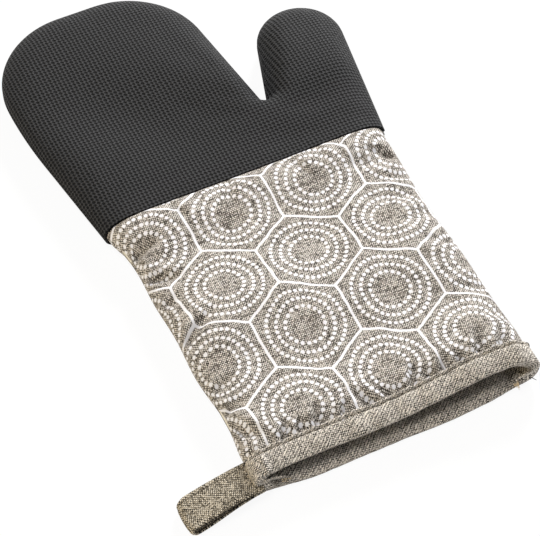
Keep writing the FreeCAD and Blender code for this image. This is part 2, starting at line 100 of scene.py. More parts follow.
tapeLow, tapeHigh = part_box("mouth_binding")
origin = np.array([(tapeLow.x + tapeHigh.x) / 2, tapeLow.y + mitt["foldOut"] / 1000,
                   (tapeLow.z + tapeHigh.z) / 2])


def inFrame(points):
    return np.asarray(points, float) / 1000 + origin


def smooth(value, low, high):
    t = np.clip((np.asarray(value, float) - low) / (high - low), 0, 1)
    return t * t * (3 - 2 * t)


def bell(value, middle, width):
    return np.exp(-((np.asarray(value, float) - middle) / width) ** 2)


# Outline and height of the mitt

def outlineAt(depth, low, step=1.5):
    # up the little finger side, round the fingertips and the thumb and down again to the level low
    half = mitt["wristHalf"] - depth
    circles = [(np.array([x, y]), radius - turn * depth, turn) for x, y, radius, turn in handCircles]
    ends = [np.array([-half, low]), np.array([-half, circles[0][0][1]])]
    for (c1, r1, t1), (c2, r2, t2) in zip(circles, circles[1:]):
        gap = c2 - c1
        away = math.atan2(gap[1], gap[0]) - math.acos((t2 * r2 - t1 * r1) / np.linalg.norm(gap))
        normal = np.array([math.cos(away), math.sin(away)])
        ends += [c1 - normal * t1 * r1, c2 - normal * t2 * r2]
    ends += [np.array([half, circles[-1][0][1]]), np.array([half, low])]
    path = []
    for number in range(len(circles) + 1):
        a, b = ends[2 * number], ends[2 * number + 1]
        count = max(1, int(np.linalg.norm(b - a) / step))
        path += [a + (b - a) * i / count for i in range(count)]
        if number == len(circles):
            path.append(b)
            break
        centre, radius, turn = circles[number]
        leave = ends[2 * number + 2]
        start = math.atan2(*(b - centre)[::-1])
        sweep = (math.atan2(*(leave - centre)[::-1]) - start) * -turn % (2 * math.pi) * -turn
        count = max(2 + int(abs(math.degrees(sweep)) / 12), int(abs(sweep) * radius / step))
        path += [centre + radius * np.array([math.cos(start + sweep * i / count),
                                             math.sin(start + sweep * i / count)]) for i in range(count)]
    path = np.array(path)
    path = path[path[:, 1] >= low - 1e-6]
    return path[np.concatenate([[True], np.linalg.norm(np.diff(path, axis=0), axis=1) > 0.02])]


fineOutline = outlineAt(0, -60, 0.8)
seamTree = KDTree(len(fineOutline))
for number, (x, y) in enumerate(fineOutline):
    seamTree.insert((x, y, 0), number)
seamTree.balance()


def seamSide(points):
    # distance of points from the side seam, and the direction out to it
    p = points[:, :2]
    nearest = np.array([seamTree.find((x, y, 0))[1] for x, y in p])
    best, way = np.full(len(p), np.inf), np.zeros((len(p), 2))
    for before in (0, 1):
        first = np.clip(nearest - before, 0, len(fineOutline) - 2)
        a, run = fineOutline[first], fineOutline[first + 1] - fineOutline[first]
        t = np.clip(((p - a) * run).sum(1) / (run * run).sum(1), 0, 1)
        out = a + t[:, None] * run - p
        far = np.linalg.norm(out, axis=1)
        way = np.where((far < best)[:, None], out / np.maximum(far, 1e-6)[:, None], way)
        best = np.minimum(best, far)
    return best, way


def insideBy(points):
    return seamSide(np.asarray(points, float))[0]


def shellHeight(inside, depth, side):
    # height over the side seam of a face that lies depth under the outer one
    name = "back" if side > 0 else "palm"
    rounding, power = mitt[name + "Rounding"], mitt[name + "Fullness"] - 0.1 * depth
    t = np.clip((inside - depth) / (rounding + 0.6 * depth), 0, 1)
    return (mitt["halfThickness"] - depth) * (1 - (1 - t) ** power) ** (1 / power)


# Each crease is a valley along a line, with a soft ridge beside it.  Millimetres: where it starts,
# where it ends, half its width, how deep it is and how high the ridge on its left stands, or where
# the number is negative the ridge on its right.
creases = (
    # thumb side, at the neoprene
    ((90, 149), (64, 160), 1.7, 3.6, -1.4),
    ((80, 152), (44, 154), 4.2, 2.4, 0.8),
    ((88, 136), (56, 142), 3.2, 2.0, 1.0),
    ((84, 122), (50, 127), 3.0, 1.5, 0.9),
    # little finger side
    ((-92, 150), (-64, 154), 3.4, 4.8, -2.4),
    ((-88, 139), (-62, 128), 2.6, 3.4, 1.6),
    ((-84, 112), (-66, 118), 3.2, 2.0, 1.0),
    ((-86, 84), (-58, 99), 2.8, 3.6, 1.8),
    ((-84, 52), (-66, 58), 3.2, 2.2, 1.1),
    ((-82, 40), (-66, 44), 2.6, 1.8, 0.9),
    ((-80, 34), (-68, 19), 2.8, 3.4, 1.3),
    # thumb side, further down
    ((86, 112), (62, 106), 3.4, 2.6, 1.2),
    ((86, 84), (58, 92), 3.4, 2.4, 1.1),
    ((84, 52), (62, 57), 4.0, 1.8, 0.9),
    ((84, 30), (66, 36), 3.4, 1.6, 0.8),
    # over the binding
    ((-60, 9), (-55, 21), 1.8, 4.1, 1.5),
    ((-50, 9), (-48, 18), 1.5, 2.9, 1.1),
    ((-41, 9), (-36, 24), 1.8, 4.3, 1.5),
    ((-27, 9), (-22, 19), 1.6, 3.8, 1.4),
    ((-7, 9), (-17, 24), 2.3, 3.4, -1.0),
    ((2, 9), (-3, 18), 1.4, 2.6, 1.0),
    ((13, 9), (18, 23), 1.8, 4.3, 1.6),
    ((23, 9), (22, 17), 1.5, 2.9, 1.1),
    ((32, 9), (34, 22), 1.8, 4.1, 1.4),
    ((43, 9), (41, 19), 1.5, 3.1, 1.1),
    ((52, 9), (58, 29), 1.9, 4.3, 1.5),
    ((64, 9), (70, 25), 1.8, 3.8, 1.3),
    ((74, 9), (78, 18), 1.6, 2.9, 1.0),
    # under the neoprene
    ((-50, 174), (-46, 158), 2.4, 1.8, 0.9),
    ((-33, 174), (-35, 163), 2.0, 1.4, 0.7),
    ((-14, 174), (-19, 158), 2.4, 1.8, 0.9),
    ((4, 174), (6, 163), 2.0, 1.4, 0.7),
    ((22, 174), (27, 156), 2.4, 1.9, 0.9),
    ((40, 174), (38, 162), 2.0, 1.5, 0.8),
    ((54, 174), (48, 160), 2.2, 1.9, 0.9),
)


def creaseField(x, y, hidden):
    # hidden plies keep clear of the valleys: theirs are wider, and have no ridges
    total = np.zeros(np.shape(x))
    for start, end, width, depth, ridge in creases:
        along = np.subtract(end, start).astype(float)
        length = np.linalg.norm(along)
        along = along / length
        run = ((x - start[0]) * along[0] + (y - start[1]) * along[1]) / length
        across = (x - start[0]) * -along[1] + (y - start[1]) * along[0]
        width = width * (2 if hidden else 1)
        taper = smooth(run, -0.25, 0.25) * (1 - smooth(run, 0.55, 1.25))
        beside = abs(ridge) * bell(across, 2.0 * width * np.sign(ridge), 1.3 * width)
        total = total + taper * (beside * (not hidden) - depth * bell(across, 0, width))
    return total


def cuffPuffs(x, y):
    # rows of padding that swell between the cuff's stitched ends, with a slow unevenness
    waves = 2.2 * np.cos((y - 165 + 2.5 * np.sin(x / 19 + 0.6)) / 76 * 2 * math.pi)
    waves = waves * (1 - 0.4 * smooth(np.abs(x), 52, 84)) * (0.85 + 0.3 * bell(y, 160, 22))
    waves = waves + 0.7 * np.sin(x / 14 + y / 37 + 0.4) * bell(y, 82, 40)
    waves = waves - 1.5 * bell(y - x / 30, 145, 9) * (1 - 0.5 * smooth(np.abs(x), 60, 84))
    waves = waves + 0.5 * np.sin(x / 5.3 + y / 14) * np.sin(y / 7.1 - x / 19)
    waves = waves + 0.45 * np.sin(x / 8.7 - y / 9.5 + 1.3) * np.sin(y / 12 + x / 31)
    return waves * (1 - smooth(y, 164, 175)) * smooth(y, 9, 20)


def handSag(x, y):
    # the empty hand sags along a slanting hollow and stands up beside the crotch of the thumb
    across = x + 0.62 * (y - 235)
    sag = 1.2 * bell(x, -38, 60) * smooth(y, 178, 250) + 0.8 * bell(x, 62, 24) * smooth(y, 180, 215)
    sag = sag - 5.6 * (1 - smooth(across, -42, 16)) * smooth(across, -105, -40) * bell(y, 238, 40)
    sag = sag - 1.2 * bell(x, 26, 18) * bell(y, 190, 12)
    edge = handCircles[crotch][0] - 0.28 * (y - 223) - x
    flank = 2.0 * bell(edge, 3, 10) + 5.0 * (1 - smooth(edge, 2, 46))
    return sag + flank * bell(y, 234, 34) * smooth(y, 194, 222)


def softField(x, y, side):
    # how far the soft face lies over its plain section
    if side < 0:
        return 0.35 * np.sin(x / 17 + y / 29) * smooth(y, 10, 40)
    # the mouth's upper lip stands up on the thumb side
    lip = 4.6 * smooth(x, 0, 66) * (1 - smooth(y, 0, 62)) - 3.0 * (1 - smooth(y, -2, 32))
    return cuffPuffs(x, y) + lip + handSag(x, y)


def seamRoll(y, panel):
    # both panels dip into the seam between the cuff and the neoprene
    if panel == "neoprene":
        t = 1 - np.clip((y - mitt["cuffLength"]) / 0.6, 0, 1)
        return -0.35 * (1 - np.sqrt(1 - t * t))
    far = mitt["cuffLength"] - y
    t = 1 - np.clip(far / 1.6, 0, 1)
    return 0.9 * bell(far, 7, 5.5) + 1.0 * bell(far, 0, 6) - 0.8 * (1 - np.sqrt(1 - t * t))


def pressed(y):
    # 1 at the mouth, where the binding presses the plies together, and 0 from the wadding's edge up
    return 1 - smooth(y, 13, 34)


def surfaceAt(points, depth, side, panel=""):
    # z of the mitt's face at a depth over points of the plane, in millimetres
    points = np.asarray(points, float)
    x, y = points[:, 0], points[:, 1]
    inside = insideBy(points)
    under = inside - depth
    lift = softField(x, y, side) * smooth(under, 0, 12)
    hidden = panel in ("wadding", "waddingInner", "lining")
    # the palm has the back's creases, half as deep
    creased = creaseField(side * x, y, hidden) * (1 if side > 0 else 0.5)
    if panel == "binding":
        creased = creased * 0.25
    elif not hidden:
        creased = creased * smooth(y, 10.8, 13.6)
    lift = lift + side * creased * smooth(under, 0, 5) * (1 - smooth(y, 168, 176))
    if panel in ("cuff", "neoprene"):
        lift = lift + side * seamRoll(y, panel) * smooth(under, 0, 5)
    if panel == "cuff":
        # the cloth gathers along its seamed sides and dips at the edge of the binding
        gather = 0.4 * np.sin(y / 1.15 + 1.6 * np.sin(y / 9 + np.sign(x))) * bell(under, 4.5, 3.5)
        lift = lift + side * (gather - 1.3 * bell(y, 12.6, 2.2)) * smooth(under, 0, 3) * smooth(y, 4, 24)
    if panel == "wadding":
        # clear of the cuff's seam and of the binding's stitched groove
        lift = lift - side * 2.1 * bell(y, mitt["cuffLength"], 3.2) * smooth(under, 0, 5)
        lift = lift - side * 0.8 * bell(y, 14, 6) * smooth(under, 0, 5)
    # the corners of the mouth are blunter than the sides
    fuller = 1 + 0.8 * smooth(np.abs(x), 25, 70) * (1 - smooth(y, 4, 44))
    z = side * shellHeight(depth + under * fuller, depth, side) + lift + swellAt(x, y, side, under)
    if side < 0:
        # the palm lies flat on what it rests on
        rest = mitt["halfThickness"] - depth
        z = np.logaddexp(0, (z + rest) / 0.25) * 0.25 - rest
    if panel in ("waddingInner", "lining"):
        z = z + side * (2.7 if panel == "lining" else 2.2) * pressed(y) * smooth(under, 0, 5)
    return z


def mouthShift(x, y, side):
    # the two lips of the mouth don't lie at the same level
    if side > 0:
        shift = 0.9 * smooth(80 - np.abs(x), 0, 18) - 0.9 * bell(x, -12, 22) + 0.6 * bell(x, 45, 18)
    else:
        shift = -2.9 * smooth(76 - np.abs(x - 2), 0, 26) - 0.8 * bell(x, 24, 16) + 0.9 * bell(x, 60, 12)
    return shift * (1 - smooth(y, 6, 46))


swellMaps = {}


def swellAt(x, y, side, under):
    # how far the padding has swelled the mitt here, from the simulated form
    if side not in swellMaps:
        return np.zeros(np.shape(x))
    grid, startX, startY, step = swellMaps[side]
    u = np.clip((x - startX) / step, 0, grid.shape[1] - 1.001)
    v = np.clip((y - startY) / step, 0, grid.shape[0] - 1.001)
    i, j = u.astype(int), v.astype(int)
    u, v = u - i, v - j
    found = (grid[j, i] * (1 - u) * (1 - v) + grid[j, i + 1] * u * (1 - v)
             + grid[j + 1, i] * (1 - u) * v + grid[j + 1, i + 1] * u * v)
    return found * smooth(under, 0, 9)


# Meshes

def addPiece(name, data):
    piece = bpy.data.objects.new(name, data)
    scene.collection.objects.link(piece)
    return piece


def evaluatedMesh(piece):
    # the piece's mesh with its modifiers made part of it
    graph = bpy.context.evaluated_depsgraph_get()
    return bpy.data.meshes.new_from_object(piece.evaluated_get(graph))


def joinDoubles(made):
    bmesh.ops.remove_doubles(made, verts=made.verts, dist=1e-6)


def turnOut(made):
    bmesh.ops.recalc_face_normals(made, faces=made.faces)


def newPiece(name, points, faces, material, cloth=None, level=0, wall=0.0, offset=-1, mend=None):
    # points in millimetres; cloth gives each point's place on the flat cloth, in millimetres;
    # mend is called with the mesh before it is used
    mesh = bpy.data.meshes.new(name)
    mesh.from_pydata(inFrame(points).tolist(), [], [tuple(int(i) for i in face) for face in faces])
    mesh.polygons.foreach_set("use_smooth", [True] * len(mesh.polygons))
    if cloth is not None:
        layer = mesh.uv_layers.new(name="cloth")
        corner = np.zeros(len(mesh.loops), np.int32)
        mesh.loops.foreach_get("vertex_index", corner)
        layer.data.foreach_set("uv", np.asarray(cloth, float)[corner].ravel())
    mesh.update()
    if mend:
        made = bmesh.new()
        made.from_mesh(mesh)
        mend(made)
        made.to_mesh(mesh)
        made.free()
    mesh.materials.append(material)
    piece = addPiece(name, mesh)
    if wall:
        shell = piece.modifiers.new("wall", "SOLIDIFY")
        shell.thickness = wall / 1000
        shell.offset = offset
    if level:
        finer = piece.modifiers.new("finer", "SUBSURF")
        finer.levels = finer.render_levels = level
    return piece


leftSide = fineOutline[:fineOutline[:, 1].argmax()]
rightSide = fineOutline[fineOutline[:, 0].argmax():][::-1]


def sideX(y):
    # where the outline crosses a level below the hand, left and right
    return np.interp(y, leftSide[:, 1], leftSide[:, 0]), np.interp(y, rightSide[:, 1], rightSide[:, 0])


def facing(faces, side):
    # a plan's faces turned outward for the back or the palm
    return faces if side < 0 else [face[::-1] for face in faces]


planSide, planTop = 110, 340     # reach of the plan to each side and up, with a little to spare


def sheetGrid(rows, columns):
    # quads of a grid of points that are numbered row after row
    return [(r * columns + c, r * columns + c + 1, (r + 1) * columns + c + 1, (r + 1) * columns + c)
            for r in range(rows - 1) for c in range(columns - 1)]


def panelMesh(depth, low, spacing, rings, hem=()):
    # a panel's plan: quads in rings along the side seam, triangles within, rows along its low edge
    path = outlineAt(depth, low, spacing * 0.7)
    levels = low + np.array([0, *hem], float)
    left, right = sideX(levels)
    above = path[path[:, 1] > levels[-1] + 0.5 * spacing]
    rim = np.concatenate([np.stack([left + depth, levels], 1), above,
                          np.stack([right - depth, levels], 1)[::-1]])
    along = np.gradient(rim, axis=0)
    along /= np.linalg.norm(along, axis=1)[:, None]
    inward = np.stack([along[:, 1], -along[:, 0]], 1)
    rows = [rim]
    for ring in rings:
        row = rim + inward * ring
        for end in (0, -1):
            near = 1 - smooth(np.abs(rim[:, 1] - low), 0, 22)
            near = near * (np.sign(rim[:, 0]) == np.sign(rim[end, 0]))
            row[:, 1] = row[:, 1] + (low - row[end, 1]) * near
        for k, level in enumerate(levels):
            row[k, 1] = row[-1 - k, 1] = level
        rows.append(row)
    count = len(rim)
    faces = sheetGrid(len(rows), count)
    inner = rows[-1]
    base = np.linspace(inner[-1, 0], inner[0, 0], int((inner[-1, 0] - inner[0, 0]) / spacing) + 1)[1:-1]
    border = list(map(tuple, inner)) + [(x, low) for x in base]
    grid = []
    y = levels[-1] + 0.8 * spacing
    while y < planTop:
        x = np.arange(-planSide, planSide, spacing) + len(grid) % 2 * 0.5 * spacing
        grid.append(np.stack([x, np.full(len(x), y)], 1))
        y += spacing * 0.866    # rows of even triangles
    grid = np.concatenate(grid)
    away = insideBy(grid)
    grid = grid[insideOutline(grid) & (away > depth + rings[-1] + 0.6 * spacing)]
    for level in levels[1:]:
        grid = np.concatenate([grid, np.stack([base, np.full(len(base), level)], 1)])
    points = border + list(map(tuple, grid))
    places, _, triangles, fromInput, _, _ = delaunay_2d_cdt(
        [Vector(p) for p in points], [], [list(range(len(border)))], 1, 1e-5)
    start = (len(rows) - 1) * count
    flat = [tuple(p) for row in rows for p in row]
    number = []
    for place, source in zip(places, fromInput):
        source = [s for s in source if s < count]
        if source:
            number.append(start + source[0])
        else:
            number.append(len(flat))
            flat.append(tuple(place))
    flat = np.array(flat)
    for face in triangles:
        face = [number[i] for i in face]
        a, b, c = flat[face[0]], flat[face[1]], flat[face[2]]
        turn = (b[0] - a[0]) * (c[1] - a[1]) - (b[1] - a[1]) * (c[0] - a[0])
        if abs(turn) > 1e-7:
            faces.append(tuple(face) if turn < 0 else tuple(face[::-1]))
    return flat, faces, count


def insideOutline(points):
    # whether points lie inside the mitt's outline
    a, b = fineOutline, np.roll(fineOutline, -1, axis=0)
    within = np.zeros(len(points), bool)
    for (x1, y1), (x2, y2) in zip(a, b):
        if y1 != y2:
            crosses = (y1 > points[:, 1]) != (y2 > points[:, 1])
            within ^= crosses & (points[:, 0] < (x2 - x1) * (points[:, 1] - y1) / (y2 - y1) + x1)
    return within


roundedWidth = 24                # the rounded edge is narrower than this on every ply


def clothPlaces(points, depth, side):
    # places on the flat cloth: the plan, let out along the rounded edge by the length of its curve
    inside, way = seamSide(points)
    t = np.linspace(0, roundedWidth, 241)
    height = shellHeight(t + depth, depth, side)
    steps = np.hypot(np.diff(t), np.diff(height)) - np.diff(t)
    spare = np.concatenate([np.cumsum(steps[::-1])[::-1], [0]])
    return points[:, :2] + way * np.interp(inside - depth, t, spare)[:, None]


# Swelled form: the padding pushes the mitt out between its seams, and the cuff is a little roomy

form = {
    "spacing": 4.0,
    "rings": (0.5, 1.5, 3.5, 7.0),
    "low": 1.0,
    "voxel": 3.3,
    "start": 0.93,             # share of the full height that it swells from
    "pressure": 4.0,
    "roomy": 0.055,            # how much larger the cuff is cut than its place
    "stitchedLow": 13,         # held below this level, by the binding
    "frames": 20,
    "cap": 4.0,                # most that it may swell or sink
    "grid": 2.5,
    "handShare": 0.25,         # the neoprene is stiffer than the cuff
}


def closedForm():
    plan, faces, count = panelMesh(0, form["low"], form["spacing"], form["rings"])
    inside = insideBy(plan)
    made = bmesh.new()
    for side, _ in sides:
        height = side * shellHeight(inside, 0, side) * form["start"]
        height[:count] = 0
        verts = [made.verts.new(p) for p in inFrame(np.column_stack([plan, height]))]
        for face in facing(faces, side):
            made.faces.new([verts[i] for i in face])
    joinDoubles(made)
    bmesh.ops.holes_fill(made, edges=[e for e in made.edges if e.is_boundary], sides=0)
    turnOut(made)
    mesh = bpy.data.meshes.new("form")
    made.to_mesh(mesh)
    made.free()
    return mesh


def heightsOf(mesh, side, xs, ys):
    # heights of a form's face over a grid, in millimetres, and nan outside it
    corners = [v.co[:] for v in mesh.vertices]
    tree = BVHTree.FromPolygons(corners, [tuple(p.vertices) for p in mesh.polygons])
    found = np.full((len(ys), len(xs)), np.nan)
    for j, y in enumerate(ys):
        for i, x in enumerate(xs):
            start = inFrame([(x, y, 4 * mitt["halfThickness"] * side)])[0]
            hit = tree.ray_cast(Vector(start), Vector((0, 0, -side)))[0]
            if hit:
                found[j, i] = (hit.z - origin[2]) * 1000
    return found


def blurred(grid, times):
    for _ in range(times):
        wide = np.pad(grid, 1, mode="edge")
        around = wide[:-2, 1:-1] + wide[2:, 1:-1] + wide[1:-1, :-2] + wide[1:-1, 2:]
        grid = (wide[1:-1, 1:-1] * 4 + around) / 8
    return grid


def swellForm():
    piece = addPiece("form", closedForm())
    fine = piece.modifiers.new("voxels", "REMESH")
    fine.mode = "VOXEL"
    fine.voxel_size = form["voxel"] / 1000
    before = evaluatedMesh(piece)
    piece.modifiers.clear()
    piece.data = before.copy()
    held, roomy = piece.vertex_groups.new(name="held"), piece.vertex_groups.new(name="roomy")
    for vert in piece.data.vertices:
        y = (vert.co.y - origin[1]) * 1000
        if y < form["stitchedLow"] or abs(y - mitt["cuffLength"]) < 2.2:
            held.add([vert.index], 1.0, "REPLACE")
        inCuff = form["stitchedLow"] < y < mitt["cuffLength"] - 3
        roomy.add([vert.index], float(inCuff), "REPLACE")
    sim = piece.modifiers.new("swell", "CLOTH")
    cloth = sim.settings
    cloth.quality = 6
    cloth.use_pressure = True
    cloth.uniform_pressure_force = form["pressure"]
    cloth.vertex_group_mass = "held"
    cloth.vertex_group_shrink = "roomy"
    cloth.shrink_min = 0.0
    cloth.shrink_max = -form["roomy"]
    cloth.tension_stiffness = cloth.compression_stiffness = 15
    cloth.bending_stiffness = 0.5
    cloth.effector_weights.gravity = 0
    sim.collision_settings.use_collision = False
    sim.point_cache.frame_start, sim.point_cache.frame_end = 1, form["frames"]
    for number in range(1, form["frames"] + 1):
        scene.frame_set(number)
    after = evaluatedMesh(piece)
    bpy.data.objects.remove(piece)
    scene.frame_set(1)
    xs, ys = np.arange(-112.5, 113, form["grid"]), np.arange(0, 336, form["grid"])
    for side, _ in sides:
        moved = heightsOf(after, side, xs, ys) - heightsOf(before, side, xs, ys)
        moved = np.nan_to_num(moved) * np.where(ys > mitt["cuffLength"], form["handShare"], 1.0)[:, None]
        moved = blurred(np.clip(moved, -form["cap"], form["cap"]), 2)
        swellMaps[side] = (moved, xs[0], ys[0], form["grid"])


swellForm()
print("form swelled")


# Materials

def mathOf(operation):
    # a function that adds one Math node, its first input a wire
    return lambda *given: given[0].kit.math(operation, *given)


class Wire:
    # an output of a node; sums on it add Math nodes

    def __init__(self, kit, socket):
        self.kit = kit
        self.socket = socket

    def __rsub__(self, other):
        return self.kit.math("SUBTRACT", other, self)

    __add__ = __radd__ = mathOf("ADD")
    __mul__ = __rmul__ = mathOf("MULTIPLY")
    __sub__ = mathOf("SUBTRACT")
    __truediv__ = mathOf("DIVIDE")
    __pow__ = mathOf("POWER")


sine, cosine, arctan = mathOf("SINE"), mathOf("COSINE"), mathOf("ARCTAN2")
whole, absolute, root = mathOf("FLOOR"), mathOf("ABSOLUTE"), mathOf("SQRT")
remainder, larger, isLess = mathOf("FLOORED_MODULO"), mathOf("MAXIMUM"), mathOf("LESS_THAN")


class NodeKit:
    # adds nodes to a tree that starts empty

    def __init__(self, tree):
        self.tree = tree
        tree.nodes.clear()

    def node(self, kind, settings=None, sockets=None, output=0):
        made = self.tree.nodes.new(kind)
        for name, value in (settings or {}).items():
            setattr(made, name, value)
        for name, value in (sockets or {}).items():
            if isinstance(value, Wire):
                self.tree.links.new(value.socket, made.inputs[name])
            else:
                made.inputs[name].default_value = value
        return Wire(self, made.outputs[output]) if made.outputs else None

    def outputs(self, wire, names):
        # other outputs of the node that a wire leaves
        return [Wire(self, wire.socket.node.outputs[name]) for name in names]

    def math(self, operation, *given):
        return self.node("ShaderNodeMath", {"operation": operation}, dict(enumerate(given)))

    def vector(self, x, y, z=0.0):
        return self.node("ShaderNodeCombineXYZ", None, {"X": x, "Y": y, "Z": z})


class ShaderKit(NodeKit):
    # the tree of a material or of the world

    def __init__(self, owner):
        owner.use_nodes = True
        super().__init__(owner.node_tree)
        self.owner = owner

    def split(self, vector):
        return self.outputs(self.node("ShaderNodeSeparateXYZ", None, {"Vector": vector}), "XYZ")

    def noise(self, place, scale, detail=2.0, rough=0.5):
        # place is a vector or a tuple of its parts
        place = self.vector(*place) if isinstance(place, tuple) else place
        return self.node("ShaderNodeTexNoise", {"noise_dimensions": "3D"},
                         {"Vector": place, "Scale": scale, "Detail": detail, "Roughness": rough})

    def white(self, x, y):
        # a steady random number from 0 to 1 for each pair
        return self.node("ShaderNodeTexWhiteNoise", {"noise_dimensions": "3D"},
                         {"Vector": self.vector(x, y)})

    def step(self, value, low, high):
        # 0 below low and 1 above high
        return self.node("ShaderNodeMapRange", {"interpolation_type": "SMOOTHSTEP", "clamp": True},
                         {"Value": value, "From Min": low, "From Max": high})

    def mix(self, share, first, second):
        return self.node("ShaderNodeMix", {"data_type": "RGBA"}, {0: share, 6: first, 7: second}, 2)

    def mixShader(self, share, first, second):
        return self.node("ShaderNodeMixShader", None, {0: share, 1: first, 2: second})

    def clothPlace(self):
        # place on the flat cloth in millimetres
        return self.split(self.node("ShaderNodeUVMap", {"uv_map": "cloth"}))[:2]

    def finish(self, tint, roughness, height, relief, sheen):
        # relief is the bump's strength and how many metres a height of 1 stands for
        strength, metres = relief
        normal = self.node("ShaderNodeBump", None,
                           {"Height": height, "Strength": strength, "Distance": metres})
        shader = self.node("ShaderNodeBsdfPrincipled", None,
                           {"Base Color": tint, "Roughness": roughness, "Normal": normal, **sheen})
        self.node("ShaderNodeOutputMaterial", None, {"Surface": shader})
        return self.owner


def colour(red, green, blue):
    # from display values of 0 to 255
    return tuple(((c / 255 + 0.055) / 1.055) ** 2.4 if c > 10 else c / 255 / 12.92
                 for c in (red, green, blue)) + (1.0,)


def turnedPlace(u, v, degrees):
    c, s = math.cos(math.radians(degrees)), math.sin(math.radians(degrees))
    return u * c + v * s, v * c - u * s


def weave(u, v, pitch):
    # plain weave: height of the yarns, the pits between them, and 1 where the warp lies on top
    a = absolute(sine(u * (math.pi / pitch)))
    b = absolute(sine(v * (math.pi / pitch)))
    warpUp = remainder(whole(u / pitch) + whole(v / pitch), 2.0)
    over = a ** 0.6 * (0.5 + b * 0.5)
    under = b ** 0.6 * (0.5 + a * 0.5)
    return over * warpUp + under * (1 - warpUp), (1 - a) * (1 - b), warpUp


linenFinish = {
    "pale": colour(221, 215, 207),
    "middle": colour(152, 144, 135),
    # the darkest yarns, and the painted shade in the pits between the yarns
    "dark": colour(24, 21, 17),
    "yarn": 0.71,
    "warpRun": 5,              # crossings over which a yarn keeps its tone
    "weftRun": 8,
    "sway": 2.5,               # how far the yarns stray from straight lines
    "roughness": 0.92,
    "sheen": {"Specular IOR Level": 0.1, "Sheen Weight": 0.05},
}


def linenColour(kit, u, v, finish):
    # a pale weft crosses a dark warp, and every stretch of yarn has a tone of its own; on top, the
    # raised yarns are painted lighter and the pits between them darker, as shade
    u = u + kit.noise((u, v), 0.06) * finish["sway"]
    v = v + kit.noise((v, u), 0.06) * finish["sway"]
    yarn = finish["yarn"]
    raised, pits, warpUp = weave(u, v, yarn)
    column, row = whole(u / yarn), whole(v / yarn)
    warp = kit.white(column + 0.5, whole(v / (yarn * finish["warpRun"])))
    weft = kit.white(whole(u / (yarn * finish["weftRun"])), row + 0.5)
    slub = kit.white(column, row)
    speck = kit.noise((u, v), 0.8, 3.0, 0.8)
    broad = kit.noise((u, v), 0.05)
    tone = warpUp * (warp * 0.35 + 0.03) + (1 - warpUp) * (weft * 0.45 + 0.56) + (slub - 0.5) * 0.65
    # painted highlight on the raised yarns and painted shade in the pits between them
    tone = tone + (speck - 0.5) * 0.15 + (broad - 0.5) * 0.1 + (raised - 0.7) * 0.35 - pits * 0.65
    tint = kit.mix(kit.step(tone, -0.02, 0.62), finish["dark"], finish["middle"])
    tint = kit.mix(kit.step(tone, 0.45, 1.0), tint, finish["pale"])
    return tint, raised * 0.8 + speck * 0.3 - pits * 0.5


printFinish = {
    "spacing": 50.0,           # between the middles of two cells
    "turn": 1.9,               # degrees
    "middle": (-19.0, 68.6),   # middle of one cell
    "lineWidth": 1.45,
    "rings": ((10.4, 20), (15.3, 32), (20.4, 42)),     # radius and number of dots
    "dotRadius": 1.06,
    "soft": 0.22,              # half the width of the ink's soft edge
    "drift": 1.7,              # how far the print wanders with the pulled cloth
    "eased": 3.4,              # how far it is taken in towards the neoprene
    "easedFrom": 92,
    "easedTo": 160,
    "palmShift": 12.0,         # the palm is cut from another place of the cloth
    "ink": colour(223, 222, 226),
}


def honeycomb(kit, u, v, finish):
    # ink where a hexagon's edge or a dot is, from 0 to 1
    size, soft = finish["spacing"], finish["soft"]
    rowGap = size * math.sqrt(3)
    x, y = turnedPlace(u - finish["middle"][0], v - finish["middle"][1], finish["turn"])

    def around(shiftX, shiftY):
        return (remainder(x + (shiftX + size / 2), size) - size / 2,
                remainder(y + (shiftY + rowGap / 2), rowGap) - rowGap / 2)

    ax, ay = around(0.0, 0.0)
    bx, by = around(size / 2, rowGap / 2)
    nearer = isLess(ax * ax + ay * ay, bx * bx + by * by)
    px = ax * nearer + bx * (1 - nearer)
    py = ay * nearer + by * (1 - nearer)
    far = absolute(px)
    slant = far * 0.5 + absolute(py) * (math.sqrt(3) / 2)
    half = finish["lineWidth"] / 2
    ink = 1 - kit.step(size / 2 - larger(far, slant), half - soft, half + soft)
    radius, angle = root(px * px + py * py), arctan(py, px)
    for ring, count in finish["rings"]:
        apart = 2 * math.pi / count
        turn = remainder(angle + apart / 2, apart) - apart / 2
        out = radius - ring
        away = root(turn * turn * (ring * ring) + out * out)
        ink = larger(ink, 1 - kit.step(away, finish["dotRadius"] - soft, finish["dotRadius"] + soft))
    return ink


def makePrintedLinen(material, finish, shift):
    kit = ShaderKit(material)
    u, v = kit.clothPlace()
    tint, height = linenColour(kit, u, v, linenFinish)
    # the print wanders with the cloth, bleeds into it and wears off the yarns
    driftU, driftV = ((kit.noise((u, v, layer), 0.055) - 0.5) * (finish["drift"] * 2)
                      for layer in (3.0, 9.0))
    eased = kit.step(v, finish["easedFrom"], finish["easedTo"]) * finish["eased"]
    u, v = u + driftU, v + driftV + eased
    bleed = kit.noise((u, v), 1.4, 2.0, 0.6) - 0.5
    ink = honeycomb(kit, u + shift + bleed * 0.18, v + bleed * 0.15, finish)
    worn = kit.noise((u, v), 1.9, 2.0, 0.7)
    tint = kit.mix(ink * (0.86 + kit.step(worn, 0.3, 0.55) * 0.14), tint, finish["ink"])
    return kit.finish(tint, linenFinish["roughness"] - ink * 0.2, height * (1 - ink * 0.4) + ink * 0.3,
                      (0.6, 0.0003), linenFinish["sheen"])


